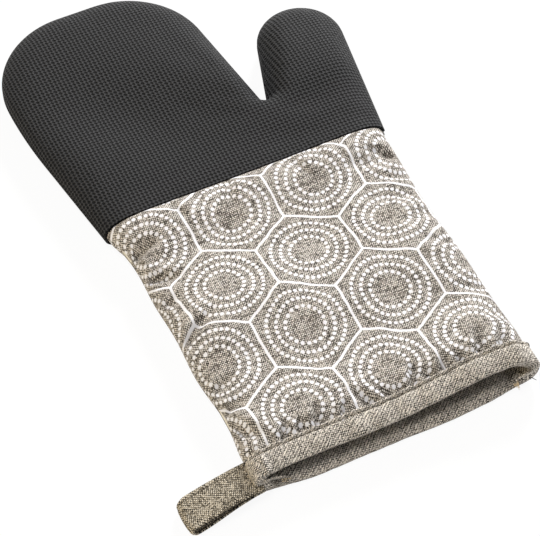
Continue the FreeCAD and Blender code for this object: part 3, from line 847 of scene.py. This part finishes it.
def makeLinen(material, finish):
    # unprinted cloth, its weave turned by an angle, with a ribbed look of twill from 0 to 1: the ribs
    # stand up in the bump and the grooves between them are painted darker, as shade
    kit = ShaderKit(material)
    u, v = turnedPlace(*kit.clothPlace(), finish["turn"])
    tint, height = linenColour(kit, u, v, finish)
    rib = sine(u * (2 * math.pi / finish["rib"]) + kit.noise((u / 12, v / 5), 1.0) * 6.0)
    shade = kit.step(rib + (kit.noise((u * 1.2, v * 0.12), 1.0) - 0.5) * 3.0, -1.0, 1.0)
    speckle = kit.noise((u * 1.6, v * 0.5), 1.0)
    # painted shade in the grooves between the twill ribs
    ribGrooveShade = kit.mix(finish["twill"] * (0.7 + speckle * 0.6), tint, finish["dark"])
    height = height + shade * (finish["twill"] * 0.9)
    return kit.finish(kit.mix(shade, ribGrooveShade, tint), finish["roughness"], height, (0.6, 0.00025),
                      finish["sheen"])


neopreneFinish = {
    "face": colour(16, 16, 17),
    # painted highlight on the raised face
    "light": colour(53, 53, 54),
    # painted shade in the pits
    "pit": colour(0, 0, 0),
    "pitch": 2.3,
    "stretch": 1.06,
    "sway": 0.9,
    "roughness": 0.7,
    "sheen": {"Specular IOR Level": 0.12},
}


def makeNeoprene(material, finish):
    # knit face with pits in rows, painted black as shade, and a ridge round each painted lighter as a
    # highlight
    kit = ShaderKit(material)
    u, v = kit.clothPlace()
    u = u + (kit.noise((u, v), 0.12) - 0.5) * finish["sway"]
    v = v + (kit.noise((v, u), 0.1) - 0.5) * finish["sway"]
    across = u * (2 * math.pi / finish["pitch"])
    along = v * (2 * math.pi * finish["stretch"] / finish["pitch"])
    knit = kit.noise((u, v), 1.6, 2.0, 0.6) - 0.5
    lattice = (cosine(along) * 1.2 + cosine(across) * 1.3 + cosine(across + along) * 0.6) * 0.35
    lattice = lattice + cosine(across * 0.5) * cosine(along * 0.5) * 0.22 + knit * 0.3
    pits = kit.step(lattice, 0.1, 0.75)
    ridge = kit.step(lattice, 0.05, -0.5)
    # the one-coloured knit is painted lighter on its ridges and black in its pits, as light and shade on
    # its relief
    tint = kit.mix(pits, kit.mix(ridge, finish["face"], finish["light"]), finish["pit"])
    return kit.finish(tint, finish["roughness"] + knit * 0.2, ridge * 0.5 - pits, (1.0, 0.0006),
                      finish["sheen"])


def makePlainCloth(material, pale, dark, yarn):
    kit = ShaderKit(material)
    u, v = kit.clothPlace()
    raised, pits, _ = weave(u, v, yarn)
    speck = kit.noise((u, v), 0.8, 3.0, 0.6)
    # the raised yarns are painted paler and the pits between them darker, as shade
    tint = kit.mix(raised * 0.6 + speck * 0.4 - pits * 0.4, dark, pale)
    return kit.finish(tint, 0.95, raised + speck * 0.4, (0.5, 0.0002), {"Specular IOR Level": 0.2})


def makeThread(material, pale, dark):
    kit = ShaderKit(material)
    place = kit.node("ShaderNodeTexCoord", output="Object")
    x, y, z = kit.split(place)
    ply = sine((x + y * 0.7 + z) * 9000.0) * 0.5 + 0.5
    # the twist's raised strands are painted paler and the grooves between them darker, as shade
    tint = kit.mix(ply * 0.6 + kit.noise(place, 1600.0) * 0.4, dark, pale)
    return kit.finish(tint, 0.85, ply, (0.5, 0.0001), {"Specular IOR Level": 0.25})


biasFinish = {**linenFinish, "pale": colour(236, 228, 217), "middle": colour(248, 239, 226),
              "turn": 52, "twill": 0.55, "rib": 1.5}
# the loop is the binding's cloth, its tones painted darker than the binding's as the shade that falls on
# it beside the corner of the mouth
shadedLoopFinish = {**linenFinish, "pale": colour(214, 204, 186), "middle": colour(158, 148, 130),
              "turn": 12, "twill": 0.2, "rib": 1.5}


def named(make, name, *given):
    return make(bpy.data.materials.new(name), *given)


printedLinen = named(makePrintedLinen, "printedLinen", printFinish, 0.0)
printedLinenPalm = named(makePrintedLinen, "printedLinenPalm", printFinish, printFinish["palmShift"])
biasLinen = named(makeLinen, "biasLinen", biasFinish)
shadedLoopLinen = named(makeLinen, "shadedLoopLinen", shadedLoopFinish)
charcoalNeoprene = named(makeNeoprene, "charcoalNeoprene", neopreneFinish)
liningCotton = named(makePlainCloth, "liningCotton", colour(150, 142, 129), colour(84, 77, 67), 0.7)
feltWadding = named(makePlainCloth, "feltWadding", colour(226, 222, 212), colour(198, 192, 180), 1.9)
greyThread = named(makeThread, "greyThread", colour(104, 95, 81), colour(54, 48, 39))
paleThread = named(makeThread, "paleThread", colour(226, 208, 176), colour(168, 146, 112))
blackThread = named(makeThread, "blackThread", colour(52, 52, 54), colour(24, 24, 26))
print("materials made")


# Neoprene hand

neoprene = {
    "depth": 0.0,              # under the outer face
    "thickness": 2.5,
    "low": mitt["cuffLength"],
    "spacing": 2.6,
    "rings": (0.08, 0.35, 0.9, 1.8, 3.0, 4.6, 6.5, 9.0),
    "hem": (0.25, 0.7, 1.3, 2.0, 3.0),
    "flat": (0.232, 0.176),
    "area": 0.0312,
}


def rollSeam(points, count, side):
    # the raw edge turns in at the side seam, so that two panels meet in a groove
    along = np.gradient(points[:count, :2], axis=0)
    along /= np.linalg.norm(along, axis=1)[:, None]
    points[:count, :2] += np.stack([along[:, 1], -along[:, 0]], 1) * mitt["seamPinch"]
    points[:count, 2] = side * mitt["seamLip"]


def makePanel(name, panel, cut, side, material):
    depth = cut["depth"]
    plan, faces, count = panelMesh(depth, cut["low"], cut["spacing"], cut["rings"], cut["hem"])
    height = surfaceAt(plan, depth, side, panel)
    height[:count] = 0
    points = np.column_stack([plan, height])
    points[:, 1] += mouthShift(plan[:, 0], plan[:, 1], side)
    if panel == "neoprene":
        rollSeam(points, count, side)
    piece = newPiece(name, points, facing(faces, side), material, clothPlaces(plan, depth, side),
                     wall=cut["thickness"])
    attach(piece, "mitt")
    return piece


for side, label in sides:
    piece = makePanel("neoprene" + label.title(), "neoprene", neoprene, side, charcoalNeoprene)
    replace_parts(piece, "neoprene_" + label)
print("neoprene hand made")


# Printed cuff

cuff = {
    "depth": 1.5,
    "thickness": 0.9,
    "low": 5.5,
    "columns": 190,
    "rowGap": 0.95,
    # levels of the last rows, closer together where the cloth rolls into the seam
    "highRows": (167.5, 169, 170.2, 171.2, 172.1, 172.8, 173.3, 173.65, 173.9),
    "edgeWave": 0.9,           # how far the side edges wander in and out
    "seamRun": (-84.5, 80.5, 160),     # ends and number of points of the seam to the neoprene
    "flat": (0.186, 0.178),
}


def sideWave(y, side):
    # the seamed sides pucker a little, differently left and right
    left = np.sin(y / 9.5 + 0.6) + 0.8 * np.sin(y / 17 + 2.0)
    right = 0.6 * np.sin(y / 12 + 1.0) + 0.6 * np.sin(y / 23)
    return np.where(side < 0, left, right) * smooth(y, 12, 26) * (1 - smooth(y, 158, 172))


def makeCuff(name, side, material):
    spread = np.sin(np.linspace(-1, 1, cuff["columns"]) * math.pi / 2)
    rows = np.concatenate([np.arange(cuff["low"], 166, cuff["rowGap"]), cuff["highRows"]])
    left, right = sideX(rows)
    middle, half = (left + right) / 2, (right - left) / 2 - cuff["depth"]
    x = middle[:, None] + half[:, None] * spread[None]
    y = np.repeat(rows[:, None], cuff["columns"], 1)
    plan = np.stack([x.ravel(), y.ravel()], 1)
    height = surfaceAt(plan, cuff["depth"], side, "cuff").reshape(x.shape)
    height[:, 0] = height[:, -1] = 0
    share = 1 - smooth(half[:, None] - np.abs(x - middle[:, None]), 0, 9)
    x = x + np.sign(x) * cuff["edgeWave"] * sideWave(y, np.sign(x)) * share
    y = y + mouthShift(x, y, side)
    points = np.stack([x.ravel(), y.ravel(), height.ravel()], 1)
    faces = facing(sheetGrid(len(rows), cuff["columns"]), -side)
    piece = newPiece(name, points, faces, material, clothPlaces(plan, cuff["depth"], side),
                     wall=cuff["thickness"])
    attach(piece, "mitt")
    return piece


for (side, label), material in zip(sides, (printedLinen, printedLinenPalm)):
    piece = makeCuff("cuff" + label.title(), side, material)
    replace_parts(piece, "cuff_" + label)
print("cuff made")


# Wadding and lining

wadding = {
    "outer": 2.7,              # depths of its two faces
    "inner": 5.0,
    "low": 19.0,
    "rim": 0.15,               # both faces end this far from the seam's plane
    "drawnIn": 0.995,          # keeps the inner face off the lining
    "spacing": 6.0,
    "rings": (0.4, 1.5, 3.5, 7.0),
    "fill": 0.3,
}

lining = {
    "depth": 5.2,
    "thickness": 0.9,
    "low": 5.0,
    "spacing": 3.6,
    "rings": (0.2, 0.7, 1.6, 3.2, 5.5, 8.5),
    "hem": (1.5, 4.0, 8.0, 14.0, 22.0),
    "flat": (0.226, 0.342),
    "area": 0.0560,
}


def makeWadding(name, side):
    w = wadding
    plan, faces, count = panelMesh(w["outer"], w["low"], w["spacing"], w["rings"])
    outer = surfaceAt(plan, w["outer"], side, "wadding")
    inside, way = seamSide(plan)
    shrunk = plan - way * ((w["inner"] - w["outer"]) * (1 - smooth(inside, 3, 14)))[:, None]
    inner = surfaceAt(shrunk, w["inner"], side, "waddingInner") * w["drawnIn"]
    outer[:count] = inner[:count] = w["rim"] * side
    points = np.column_stack([np.concatenate([plan, shrunk]), np.concatenate([outer, inner])])
    points[:, 1] += np.tile(mouthShift(plan[:, 0], plan[:, 1], side), 2)
    total = len(plan)
    faces = facing(faces, side)
    edges = [pair for face in faces for pair in zip(face, face[1:] + face[:1])]
    known = set(edges)
    walls = [(b, a, a + total, b + total) for a, b in edges if (b, a) not in known]
    faces = faces + [tuple(i + total for i in face[::-1]) for face in faces] + walls
    piece = newPiece(name, points, faces, feltWadding, np.concatenate([plan, plan]))
    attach(piece, "mitt")
    return piece


for side, label in sides:
    piece = makeWadding("wadding" + label.title(), side)
    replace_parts(piece, "wadding_" + label)
    piece = makePanel("lining" + label.title(), "lining", lining, side, liningCotton)
    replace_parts(piece, "lining_" + label)
print("wadding and lining made")


# Binding round the mouth

binding = {
    "columns": 220,
    "edge": 12.4,              # free edge, up from the mouth edge
    "stitchLine": 10.4,
    "stitchDepth": 1.15,
    "stitchReach": 0.985,      # how far into the corners the stitches go
    "outerDepth": 0.35,
    "innerDepth": 7.2,
    "thickness": 0.85,
    "pucker": 0.3,
    "flat": (0.033, 0.352),
    # the outer face from its free edge over the stitched groove to the front: level and how far it
    # drops under its place
    "outer": ((12.15, 1.0), (12.35, 0.85), (12.42, 0.6), (12.38, 0.3), (12.2, 0.05), (11.9, -0.12),
              (11.55, -0.15), (11.2, -0.05), (10.95, 0.3), (10.72, 0.75), (10.5, 0.95),
              (10.3, 0.95), (10.08, 0.75), (9.85, 0.3), (9.6, -0.1), (9.25, -0.32), (8.8, -0.4),
              (8.2, -0.4), (7.5, -0.3), (6.8, -0.18), (6.1, -0.05), (5.4, 0.12), (4.7, 0.32),
              (4.0, 0.55), (3.3, 0.83), (2.6, 1.15), (1.9, 1.5), (1.25, 1.85), (0.7, 2.2),
              (0.25, 2.55), (-0.05, 2.9)),
    # the front and the inner face: level, depth, and the drop on the back and on the palm
    "front": ((-0.2, 2.4, 0.95, -1.85), (-0.25, 3.8, 0.0, -2.9), (-0.15, 5.2, -1.05, -3.9),
              (0.15, 6.4, -2.05, -4.75), (0.7, 7.0, -2.6, -5.0)),
    "inner": ((1.3, -2.8, -4.8), (2.1, -2.8, -4.35), (3.0, -2.8, -3.9), (4.0, -2.8, -3.45),
              (5.2, -2.8, -3.1), (6.5, -2.8, -2.9), (8.0, -2.8, -2.8), (9.4, -2.8, -2.8),
              (10.8, -2.8, -2.8), (11.8, -2.8, -2.8)),
}


def ringPoints(depth, level, count, drop, palmDrop):
    # points round the mouth at a depth and a level up the cuff, over the back first
    reach = mitt["wristHalf"] - depth
    x = np.sin(np.linspace(-1, 1, count + 1) * math.pi / 2) * reach
    x = np.concatenate([x, x[::-1][1:-1]])
    side = np.where(np.arange(len(x)) <= count, 1, -1)
    plan = np.column_stack([x, np.full(len(x), float(level))])
    z = np.where(side > 0, surfaceAt(plan, depth, 1, "binding"), surfaceAt(plan, depth, -1, "binding"))
    z = z - side * np.where(side > 0, drop, palmDrop) * smooth(reach - np.abs(x), 0, 4)
    z[0] = z[count] = 0
    y = plan[:, 1] + np.where(side > 0, mouthShift(*plan.T, 1), mouthShift(*plan.T, -1))
    return np.stack([x, y, z], 1), side


def bindingProfile():
    # level, depth, both drops and share of the puckers: down the outside, round the front, up the inside
    b = binding
    rows = [(level, b["outerDepth"], drop, min(drop, 0.05) if level < 9.7 else drop,
             smooth(abs(level - b["stitchLine"]), 0.3, 2.0)) for level, drop in b["outer"]]
    rows += [row + (0.6,) for row in b["front"]]
    rows += [(level, b["innerDepth"], drop, palmDrop, 0.3) for level, drop, palmDrop in b["inner"]]
    return rows


def makeBinding(name):
    b = binding
    layers, cloth, walked = [], [], 0.0
    for level, depth, drop, palmDrop, share in bindingProfile():
        ring, side = ringPoints(depth, level, b["columns"], drop, palmDrop)
        around = np.cumsum(np.concatenate([[0], np.linalg.norm(np.diff(ring, axis=0), axis=1)]))
        x = ring[:, 0]
        # small puckers all round, and one fold at the little finger's corner
        folds = np.sin(around / 5.1 + 0.8) * 0.6 + np.sin(around / 2.9 + np.cos(around / 17) * 2)
        ring[:, 2] += side * folds * b["pucker"] * share * smooth(82 - np.abs(x), 1, 8)
        ring[:, 2] += np.where(side > 0, bell(x, -73.6, 1.5) - 0.7 * bell(x, -70.4, 1.7), 0) * share
        ring[:, 1] += 0.25 * np.sin(around / 11 + 1.4) * smooth(level, 8, 12)
        # the ring closes on its first point
        ring = np.concatenate([ring, ring[:1]])
        if layers:
            walked += np.linalg.norm(ring[:-1] - layers[-1][:-1], axis=1).mean()
        else:
            closed = around[-1] + np.linalg.norm(ring[-1] - ring[-2])
            firstAround = np.append(around, closed)
        layers.append(ring)
        cloth.append(np.stack([firstAround, np.full(len(ring), walked)], 1))
    faces = facing(sheetGrid(len(layers), len(layers[0])), 1)
    piece = newPiece(name, np.concatenate(layers), faces, biasLinen, np.concatenate(cloth),
                     wall=b["thickness"], mend=joinDoubles)
    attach(piece, "mitt")
    return piece


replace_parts(makeBinding("mouthBinding"), "mouth_binding")
print("binding made")


# Ends of the side seams, seen inside the corners of the mouth

seamEnds = {
    "thickness": 0.8,
    "columns": 14,
    "rows": 7,
    "flat": (0.013, 0.010),
    "area": 0.00009,
    "weave": (13, 8),          # length and height over which its weave is laid out
    "fray": 0.35,
    # where the strip starts and ends, how it rises and the seed of its frayed corner
    "left": ((-77.0, 2.0, -4.2), (-63.5, 1.6, -7.2), (1.0, -3.2, 6.4), 3),
    "right": ((77.0, 1.6, -3.6), (65.0, 0.4, -6.4), (-1.2, -3.4, 7.2), 8),
}


def makeSeamEnd(name, start, end, rise, seed):
    # a narrow raw strip that stands between the lips, its free corner frayed
    noise = np.random.default_rng(seed)
    start, end, rise = np.array(start), np.array(end), np.array(rise)
    columns, rows = seamEnds["columns"], seamEnds["rows"]
    width, height = seamEnds["weave"]
    points, cloth = [], []
    for r in range(rows):
        w = r / (rows - 1)
        for c in range(columns):
            t = c / (columns - 1)
            atEdge = c == columns - 1 or r == rows - 1
            fray = noise.uniform(-seamEnds["fray"], seamEnds["fray"]) if atEdge else 0
            curl = 0.9 * math.sin(math.pi * w) * (1 - 0.5 * t) + 0.7 * math.sin(5 * t + seed)
            upward = rise * (w + fray * 0.06) * (1 - 0.45 * t * t)
            place = start + (end - start) * (t + fray * 0.05) + upward
            points.append(place + np.array([0, -curl * 0.7, curl * 0.2]))
            cloth.append((t * width, w * height))
    piece = newPiece(name, points, sheetGrid(rows, columns), biasLinen, cloth, level=1,
                     wall=seamEnds["thickness"])
    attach(piece, "mitt")


yarn = {
    "spread": (1.6, 0.8, 1.2),
    "width": 0.28,
    "rings": 6,
    "corners": 5,
}
# where they start, which way they point, seed, thread, how many and how long
yarnEnds = {
    "frayedYarnsRight": ((66.5, -2.2, -3.0), (-0.5, -1.0, -0.5), 5, paleThread, 9, 3.6),
    "frayedYarnsLeft": ((-65.5, -1.6, -3.2), (0.8, -0.8, 0.3), 11, paleThread, 5, 2.6),
    "darkThreadEnd": ((75.0, -1.2, -4.0), (0.8, -0.9, -0.6), 2, blackThread, 2, 3.2),
}


def makeYarns(name, base, way, seed, material, count, reach):
    # loose ends of yarn, thin tapering tubes
    noise = np.random.default_rng(seed)
    rings, corners = yarn["rings"], yarn["corners"]
    points, faces = [], []
    for _ in range(count):
        start = np.array(base) + noise.uniform(-1, 1, 3) * yarn["spread"]
        aim = np.array(way) + noise.uniform(-0.5, 0.5, 3)
        aim = aim / np.linalg.norm(aim) * reach * noise.uniform(0.5, 1.0)
        bend = noise.uniform(-1, 1, 3) * 0.8
        first = len(points)
        for t in np.linspace(0, 1, rings):
            middle = start + aim * t + bend * math.sin(2.4 * t)
            width = yarn["width"] * (1 - 0.6 * t)
            for turn in np.arange(corners) * (2 * math.pi / corners):
                out = np.array([math.cos(turn), 0.3 * math.sin(turn), math.sin(turn)])
                points.append(middle + out * width)
        for k in range(rings - 1):
            for corner in range(corners):
                a, b = first + k * corners + corner, first + k * corners + (corner + 1) % corners
                faces.append((a, b, b + corners, a + corners))
        faces.append(tuple(range(first + corners - 1, first - 1, -1)))
        faces.append(tuple(range(first + (rings - 1) * corners, first + rings * corners)))
    piece = newPiece(name, points, faces, material, mend=turnOut)
    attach(piece, "mitt")


makeSeamEnd("leftSeamEnd", *seamEnds["left"])
makeSeamEnd("rightSeamEnd", *seamEnds["right"])
for name, yarns in yarnEnds.items():
    makeYarns(name, *yarns)
print("seam ends made")


# Hanging loop

loop = {
    "rootX": -82.9,
    "rootZ": -4.0,
    "middleY": 6.5,
    "width": 18.6,
    "rootRadius": 0.8,         # to the middle of the tape
    "tipRadius": 2.9,
    "span": 33.8,
    "sag": 5.7,                # degrees
    "sewn": 6.5,               # length of both ends inside the seam
    "skew": 4.2,               # how much nearer to the mouth's side the tip lies
    "belly": 1.0,              # how far the upper layer arches up
    "hem": 2.3,                # width of the folded edges
    "unstitched": 6,           # points of the path at each end that have no stitches
    "thickness": 1.1,
    "flat": (0.0185, 0.092),
    "bendFrom": -80.6,
    "bendTo": -86.5,
}


def loopCentreline():
    # from inside the seam along the upper layer, round the tip and back along the lower one
    p = loop
    angle = math.radians(180 + p["sag"])
    out = np.array([math.cos(angle), math.sin(angle)])
    up = np.array([out[1], -out[0]])
    start, r1, r2, span = np.array([p["rootX"], p["rootZ"]]), p["rootRadius"], p["tipRadius"], p["span"]
    lean = math.asin((r2 - r1) / span)
    tip = start + out * span
    sewn = (1, 0.75, 0.5, 0.25, 0.08)
    inSeam = np.array([1, 0.06]) * p["sewn"]
    path = [start + up * r1 * 0.95 + inSeam * t for t in sewn]
    first = up * math.cos(lean) - out * math.sin(lean)
    last = -up * math.cos(lean) - out * math.sin(lean)
    for t in np.linspace(0.02, 1, 22)[:-1]:
        arch = p["belly"] * math.sin(math.pi * t) ** 1.2
        path.append(start + first * r1 + (tip + first * r2 - start - first * r1) * t + up * arch)
    for turn in np.linspace(0, 1, 13):
        sweep = (math.pi / 2 + lean) * (2 * turn - 1)
        path.append(tip + (out * math.cos(sweep) - up * math.sin(sweep)) * r2)
    for t in np.linspace(0, 0.98, 22)[1:]:
        path.append(tip + last * r2 + (start + last * r1 - tip - last * r2) * t)
    path += [start - up * r1 * 0.95 + inSeam * t for t in sewn[::-1]]
    return np.array(path)


def loopSpot(path, normal, s, u):
    # a place on the tape's face: u runs from -1 to 1 across it
    p = loop
    x, z = path
    reach = (p["rootX"] - x) / p["span"]
    corner = 1.5 * smooth(reach, 0.93, 1.08)
    hem = 1 - 2 * p["hem"] / p["width"]
    y = p["middleY"] + u * (p["width"] / 2 - 0.35 * corner) - p["skew"] * smooth(reach, -0.3, 1.3) * 1.2
    # the folded edges stand up behind their stitches and round off, and the tape waves a little
    rise = 0.35 * smooth(abs(u), hem, hem + 0.08) - 0.3 * bell(abs(u), hem, 0.05)
    rise = rise - 0.5 * smooth(abs(u), 0.93, 1.02)
    rise = rise + 0.3 * math.sin(s / 6 + u * 2) * smooth(reach, 0.05, 0.4)
    return (x + corner * abs(u) ** 6 - normal[0] * rise, y, z - normal[1] * rise)


loopPath = loopCentreline()
loopWay = np.gradient(loopPath, axis=0)
loopNormal = np.stack([-loopWay[:, 1], loopWay[:, 0]], 1) / np.linalg.norm(loopWay, axis=1)[:, None]
loopRun = np.concatenate([[0], np.cumsum(np.linalg.norm(np.diff(loopPath, axis=0), axis=1))])


def makeLoop(name):
    p = loop
    half = (0.25, 0.5, 0.68, 0.73, 0.765, 0.8, 0.86, 0.93, 0.98, 1.0)
    across = [-u for u in half[::-1]] + [0, *half]
    points, cloth = [], []
    for place, normal, s in zip(loopPath, loopNormal, loopRun):
        for u in across:
            points.append(loopSpot(place, normal, s, u))
            cloth.append((u * p["width"] / 2, s))
    faces = facing(sheetGrid(len(loopPath), len(across)), 1)
    piece = newPiece(name, points, faces, shadedLoopLinen, cloth, level=1, wall=p["thickness"], offset=0)
    # its wall and finer faces are made part of it
    mesh = evaluatedMesh(piece)
    piece.modifiers.clear()
    piece.data = mesh
    return piece


def bendAtSeam(piece):
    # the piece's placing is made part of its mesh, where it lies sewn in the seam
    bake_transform(piece)


hangingLoop = makeLoop("hangingLoop")
bendAtSeam(hangingLoop)
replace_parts(hangingLoop, "hanging_loop")
print("loop made")


# Stitches

stitch = {
    "Length": 2.5,
    "Space": 1.0,
    "Width": 0.75,
    "Rise": 0.5,
    "seed": 4,
    "shortest": 0.82,          # least and greatest share of the length
    "longest": 1.12,
}


def stitchTree(name, material):
    # small rounded stitches along every run of edges, standing on the direction stored as "up"
    tree = bpy.data.node_groups.new(name, "GeometryNodeTree")
    face = tree.interface
    face.new_socket("Geometry", in_out="INPUT", socket_type="NodeSocketGeometry")
    sizes = ("Length", "Space", "Width", "Rise")
    for label in sizes:
        socket = face.new_socket(label, in_out="INPUT", socket_type="NodeSocketFloat")
        socket.default_value = stitch[label] / 1000
    face.new_socket("Seed", in_out="INPUT", socket_type="NodeSocketInt").default_value = stitch["seed"]
    face.new_socket("Geometry", in_out="OUTPUT", socket_type="NodeSocketGeometry")
    kit = NodeKit(tree)
    runs = kit.node("NodeGroupInput")
    length, space, width, rise, seed = kit.outputs(runs, (*sizes, "Seed"))
    curve = kit.node("GeometryNodeMeshToCurve", None, {"Mesh": runs})
    points = kit.node("GeometryNodeResampleCurve", {"mode": "LENGTH"},
                      {"Curve": curve, "Length": length + space})
    bead = kit.node("GeometryNodeMeshUVSphere", None, {"Segments": 6, "Rings": 5, "Radius": 0.5})
    up = kit.node("GeometryNodeInputNamedAttribute", {"data_type": "FLOAT_VECTOR"}, {"Name": "up"},
                  "Attribute")
    along = kit.node("GeometryNodeInputTangent")
    turned = kit.node("FunctionNodeAxesToRotation", {"primary_axis": "X", "secondary_axis": "Z"},
                      {"Primary Axis": along, "Secondary Axis": up})
    share = kit.node("FunctionNodeRandomValue", {"data_type": "FLOAT"},
                     {2: stitch["shortest"], 3: stitch["longest"], "Seed": seed}, 1)
    placed = kit.node("GeometryNodeInstanceOnPoints", None,
                      {"Points": points, "Instance": bead, "Rotation": turned,
                       "Scale": kit.vector(length * share, width, rise)})
    solid = kit.node("GeometryNodeRealizeInstances", None, {"Geometry": placed})
    rounded = kit.node("GeometryNodeSetShadeSmooth", None, {"Geometry": solid})
    done = kit.node("GeometryNodeSetMaterial", None, {"Geometry": rounded, "Material": material})
    kit.node("NodeGroupOutput", None, {"Geometry": done})
    return tree


def sewStitches(name, runs, material, sizes, body=""):
    # runs are (points, ups); the result is one plain mesh
    mesh = bpy.data.meshes.new(name + "Runs")
    starts = np.cumsum([0] + [len(points) for points, _ in runs])
    edges = [(i, i + 1) for first, last in zip(starts, starts[1:]) for i in range(first, last - 1)]
    mesh.from_pydata(inFrame(np.concatenate([points for points, _ in runs])).tolist(), edges, [])
    layer = mesh.attributes.new("up", "FLOAT_VECTOR", "POINT")
    layer.data.foreach_set("vector", np.concatenate([ups for _, ups in runs]).astype(float).ravel())
    guide = addPiece(name + "Runs", mesh)
    sewn = guide.modifiers.new("stitches", "NODES")
    sewn.node_group = stitchTree(name + "Tree", material)
    for item in sewn.node_group.interface.items_tree:
        if item.item_type == "SOCKET" and item.in_out == "INPUT" and item.name in sizes:
            sewn[item.identifier] = sizes[item.name] / 1000
    stitches = evaluatedMesh(guide)
    stitches.name = name
    bpy.data.objects.remove(guide)
    piece = addPiece(name, stitches)
    if body:
        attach(piece, body)
    return piece


def bindingRun(side):
    # along the groove of one lip of the mouth, with the direction out of the cloth
    depth, level, reach = binding["stitchDepth"], binding["stitchLine"], binding["stitchReach"]
    x = np.sin(np.linspace(-reach, reach, 221) * math.pi / 2) * (mitt["wristHalf"] - depth)
    plan = np.column_stack([x, np.full(len(x), level)])
    y = level + mouthShift(x, plan[:, 1], side)
    points = np.column_stack([x, y, surfaceAt(plan, depth, side, "binding")])
    along = np.gradient(points, axis=0)
    up = np.stack([-along[:, 2] * side, np.zeros(len(x)), along[:, 0] * side], 1)
    return points, up / np.linalg.norm(up, axis=1)[:, None]


def loopRunAt(u):
    # along one folded edge of the loop, on its outer face
    keep = range(loop["unstitched"], len(loopPath) - loop["unstitched"])
    points = [loopSpot(loopPath[i] - loopNormal[i] * loop["thickness"] / 2, loopNormal[i], loopRun[i], u)
              for i in keep]
    return np.array(points), np.array([(-loopNormal[i][0], 0, -loopNormal[i][1]) for i in keep])


def cuffSeamRun(side):
    x = np.linspace(*cuff["seamRun"])
    plan = np.column_stack([x, np.full(len(x), mitt["cuffLength"] - 0.1)])
    z = surfaceAt(plan, cuff["depth"], side, "cuff") - side * 0.25
    return np.column_stack([plan, z]), np.tile((0, 0, side), (len(x), 1))


for side, label in sides:
    piece = sewStitches("bindingStitches" + label.title(), [bindingRun(side)], greyThread,
                        {"Rise": 0.45, "Width": 0.6}, "mitt")
    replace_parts(piece, "binding_stitching_" + label)

foldedEdge = 1 - 2 * loop["hem"] / loop["width"]
piece = sewStitches("loopStitches", [loopRunAt(-foldedEdge), loopRunAt(foldedEdge)], greyThread,
                    {"Rise": 0.35, "Width": 0.55})
bendAtSeam(piece)
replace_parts(piece, "loop_stitching_upper", "loop_stitching_lower")

for side, label in sides:
    piece = sewStitches("cuffSeamStitches" + label.title(), [cuffSeamRun(side)], blackThread,
                        {"Rise": 0.3, "Width": 0.5}, "mitt")
    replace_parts(piece, "cuff_seam_thread_" + label)

for node, material in (("outer_seam_thread", blackThread), ("lining_seam_thread", greyThread)):
    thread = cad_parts[node]
    thread.data.materials.clear()
    thread.data.materials.append(material)
print("stitches made")


# Camera, light and floor

view = {
    "target": (-0.0048, -0.0478, 0.0113),
    "azimuth": -26.0,
    "elevation": 53.2,
    "distance": 1.1025,
    "lens": 138.4,
    "sensor": 36,
}


def lookFrom(piece, place, target):
    piece.location = place
    piece.rotation_euler = (Vector(target) - piece.location).to_track_quat("-Z", "Y").to_euler()


azimuth, elevation = math.radians(view["azimuth"]), math.radians(view["elevation"])
away = Vector((math.sin(azimuth) * math.cos(elevation), -math.cos(azimuth) * math.cos(elevation),
               math.sin(elevation)))
camera = addPiece("camera", bpy.data.cameras.new("camera"))
lookFrom(camera, Vector(view["target"]) + away * view["distance"], view["target"])
camera.data.lens = view["lens"]
camera.data.sensor_width = view["sensor"]
scene.camera = camera

# place, size, watts and tint
lamps = {
    "keyLamp": ((0.95, 1.10, 0.85), 0.45, 42.0, (1, 1, 1)),
    "fillLamp": ((-0.62, -0.1, 1.55), 0.75, 19.5, (1, 0.97, 0.93)),
    "frontLamp": ((0.1, -1.6, 0.4), 0.6, 3.0, (1, 1, 1)),
    "rimLamp": ((1.5, 0.1, 0.45), 0.4, 9.0, (1, 1, 1)),
    "warmLamp": ((-1.35, -0.15, 0.3), 0.5, 4.5, (1, 0.72, 0.22)),
}
for name, (place, size, watts, tint) in lamps.items():
    data = bpy.data.lights.new(name, "AREA")
    data.shape = "DISK"
    data.size = size
    data.energy = watts
    data.color = tint
    lookFrom(addPiece(name, data), place, (0, 0, 0))

white = (1, 1, 1, 1)
studio = {
    "soft": 0.13,              # light from all round
    "background": 1.0,         # and what the camera sees of it
    "floor": (0.85, 0.85, 0.85, 1),
    "floorGlow": 0.92,         # share of the floor that the camera sees as plain white
    "floorReach": 6,
    "floorGap": 0.0004,        # under the palm
}

# the background is white to the camera, off glossy faces and through clear ones
world = bpy.data.worlds.new("studio")
kit = ShaderKit(world)
straight, glossy, through = kit.outputs(kit.node("ShaderNodeLightPath"),
                                        ("Is Camera Ray", "Is Glossy Ray", "Is Transmission Ray"))
soft, plain = (kit.node("ShaderNodeBackground", None, {"Color": white, "Strength": studio[name]})
               for name in ("soft", "background"))
seen = kit.mixShader(larger(larger(straight, glossy), through), soft, plain)
kit.node("ShaderNodeOutputWorld", None, {"Surface": seen})
scene.world = world

floorMaterial = bpy.data.materials.new("floor")
kit = ShaderKit(floorMaterial)
straight = kit.node("ShaderNodeLightPath", output="Is Camera Ray")
matt = kit.node("ShaderNodeBsdfDiffuse", None, {"Color": studio["floor"]})
glow = kit.node("ShaderNodeEmission", None, {"Strength": 1.0})
kit.node("ShaderNodeOutputMaterial", None,
         {"Surface": kit.mixShader(straight * studio["floorGlow"], matt, glow)})
level, reach = cadBox[0][2] - studio["floorGap"], studio["floorReach"]
floorMesh = bpy.data.meshes.new("floor")
corners = [(x * reach, y * reach, level) for x, y in ((-1, -1), (1, -1), (1, 1), (-1, 1))]
floorMesh.from_pydata(corners, [], [(0, 1, 2, 3)])
floorMesh.materials.append(floorMaterial)
addPiece("floor", floorMesh)
scene.view_settings.view_transform = "Standard"
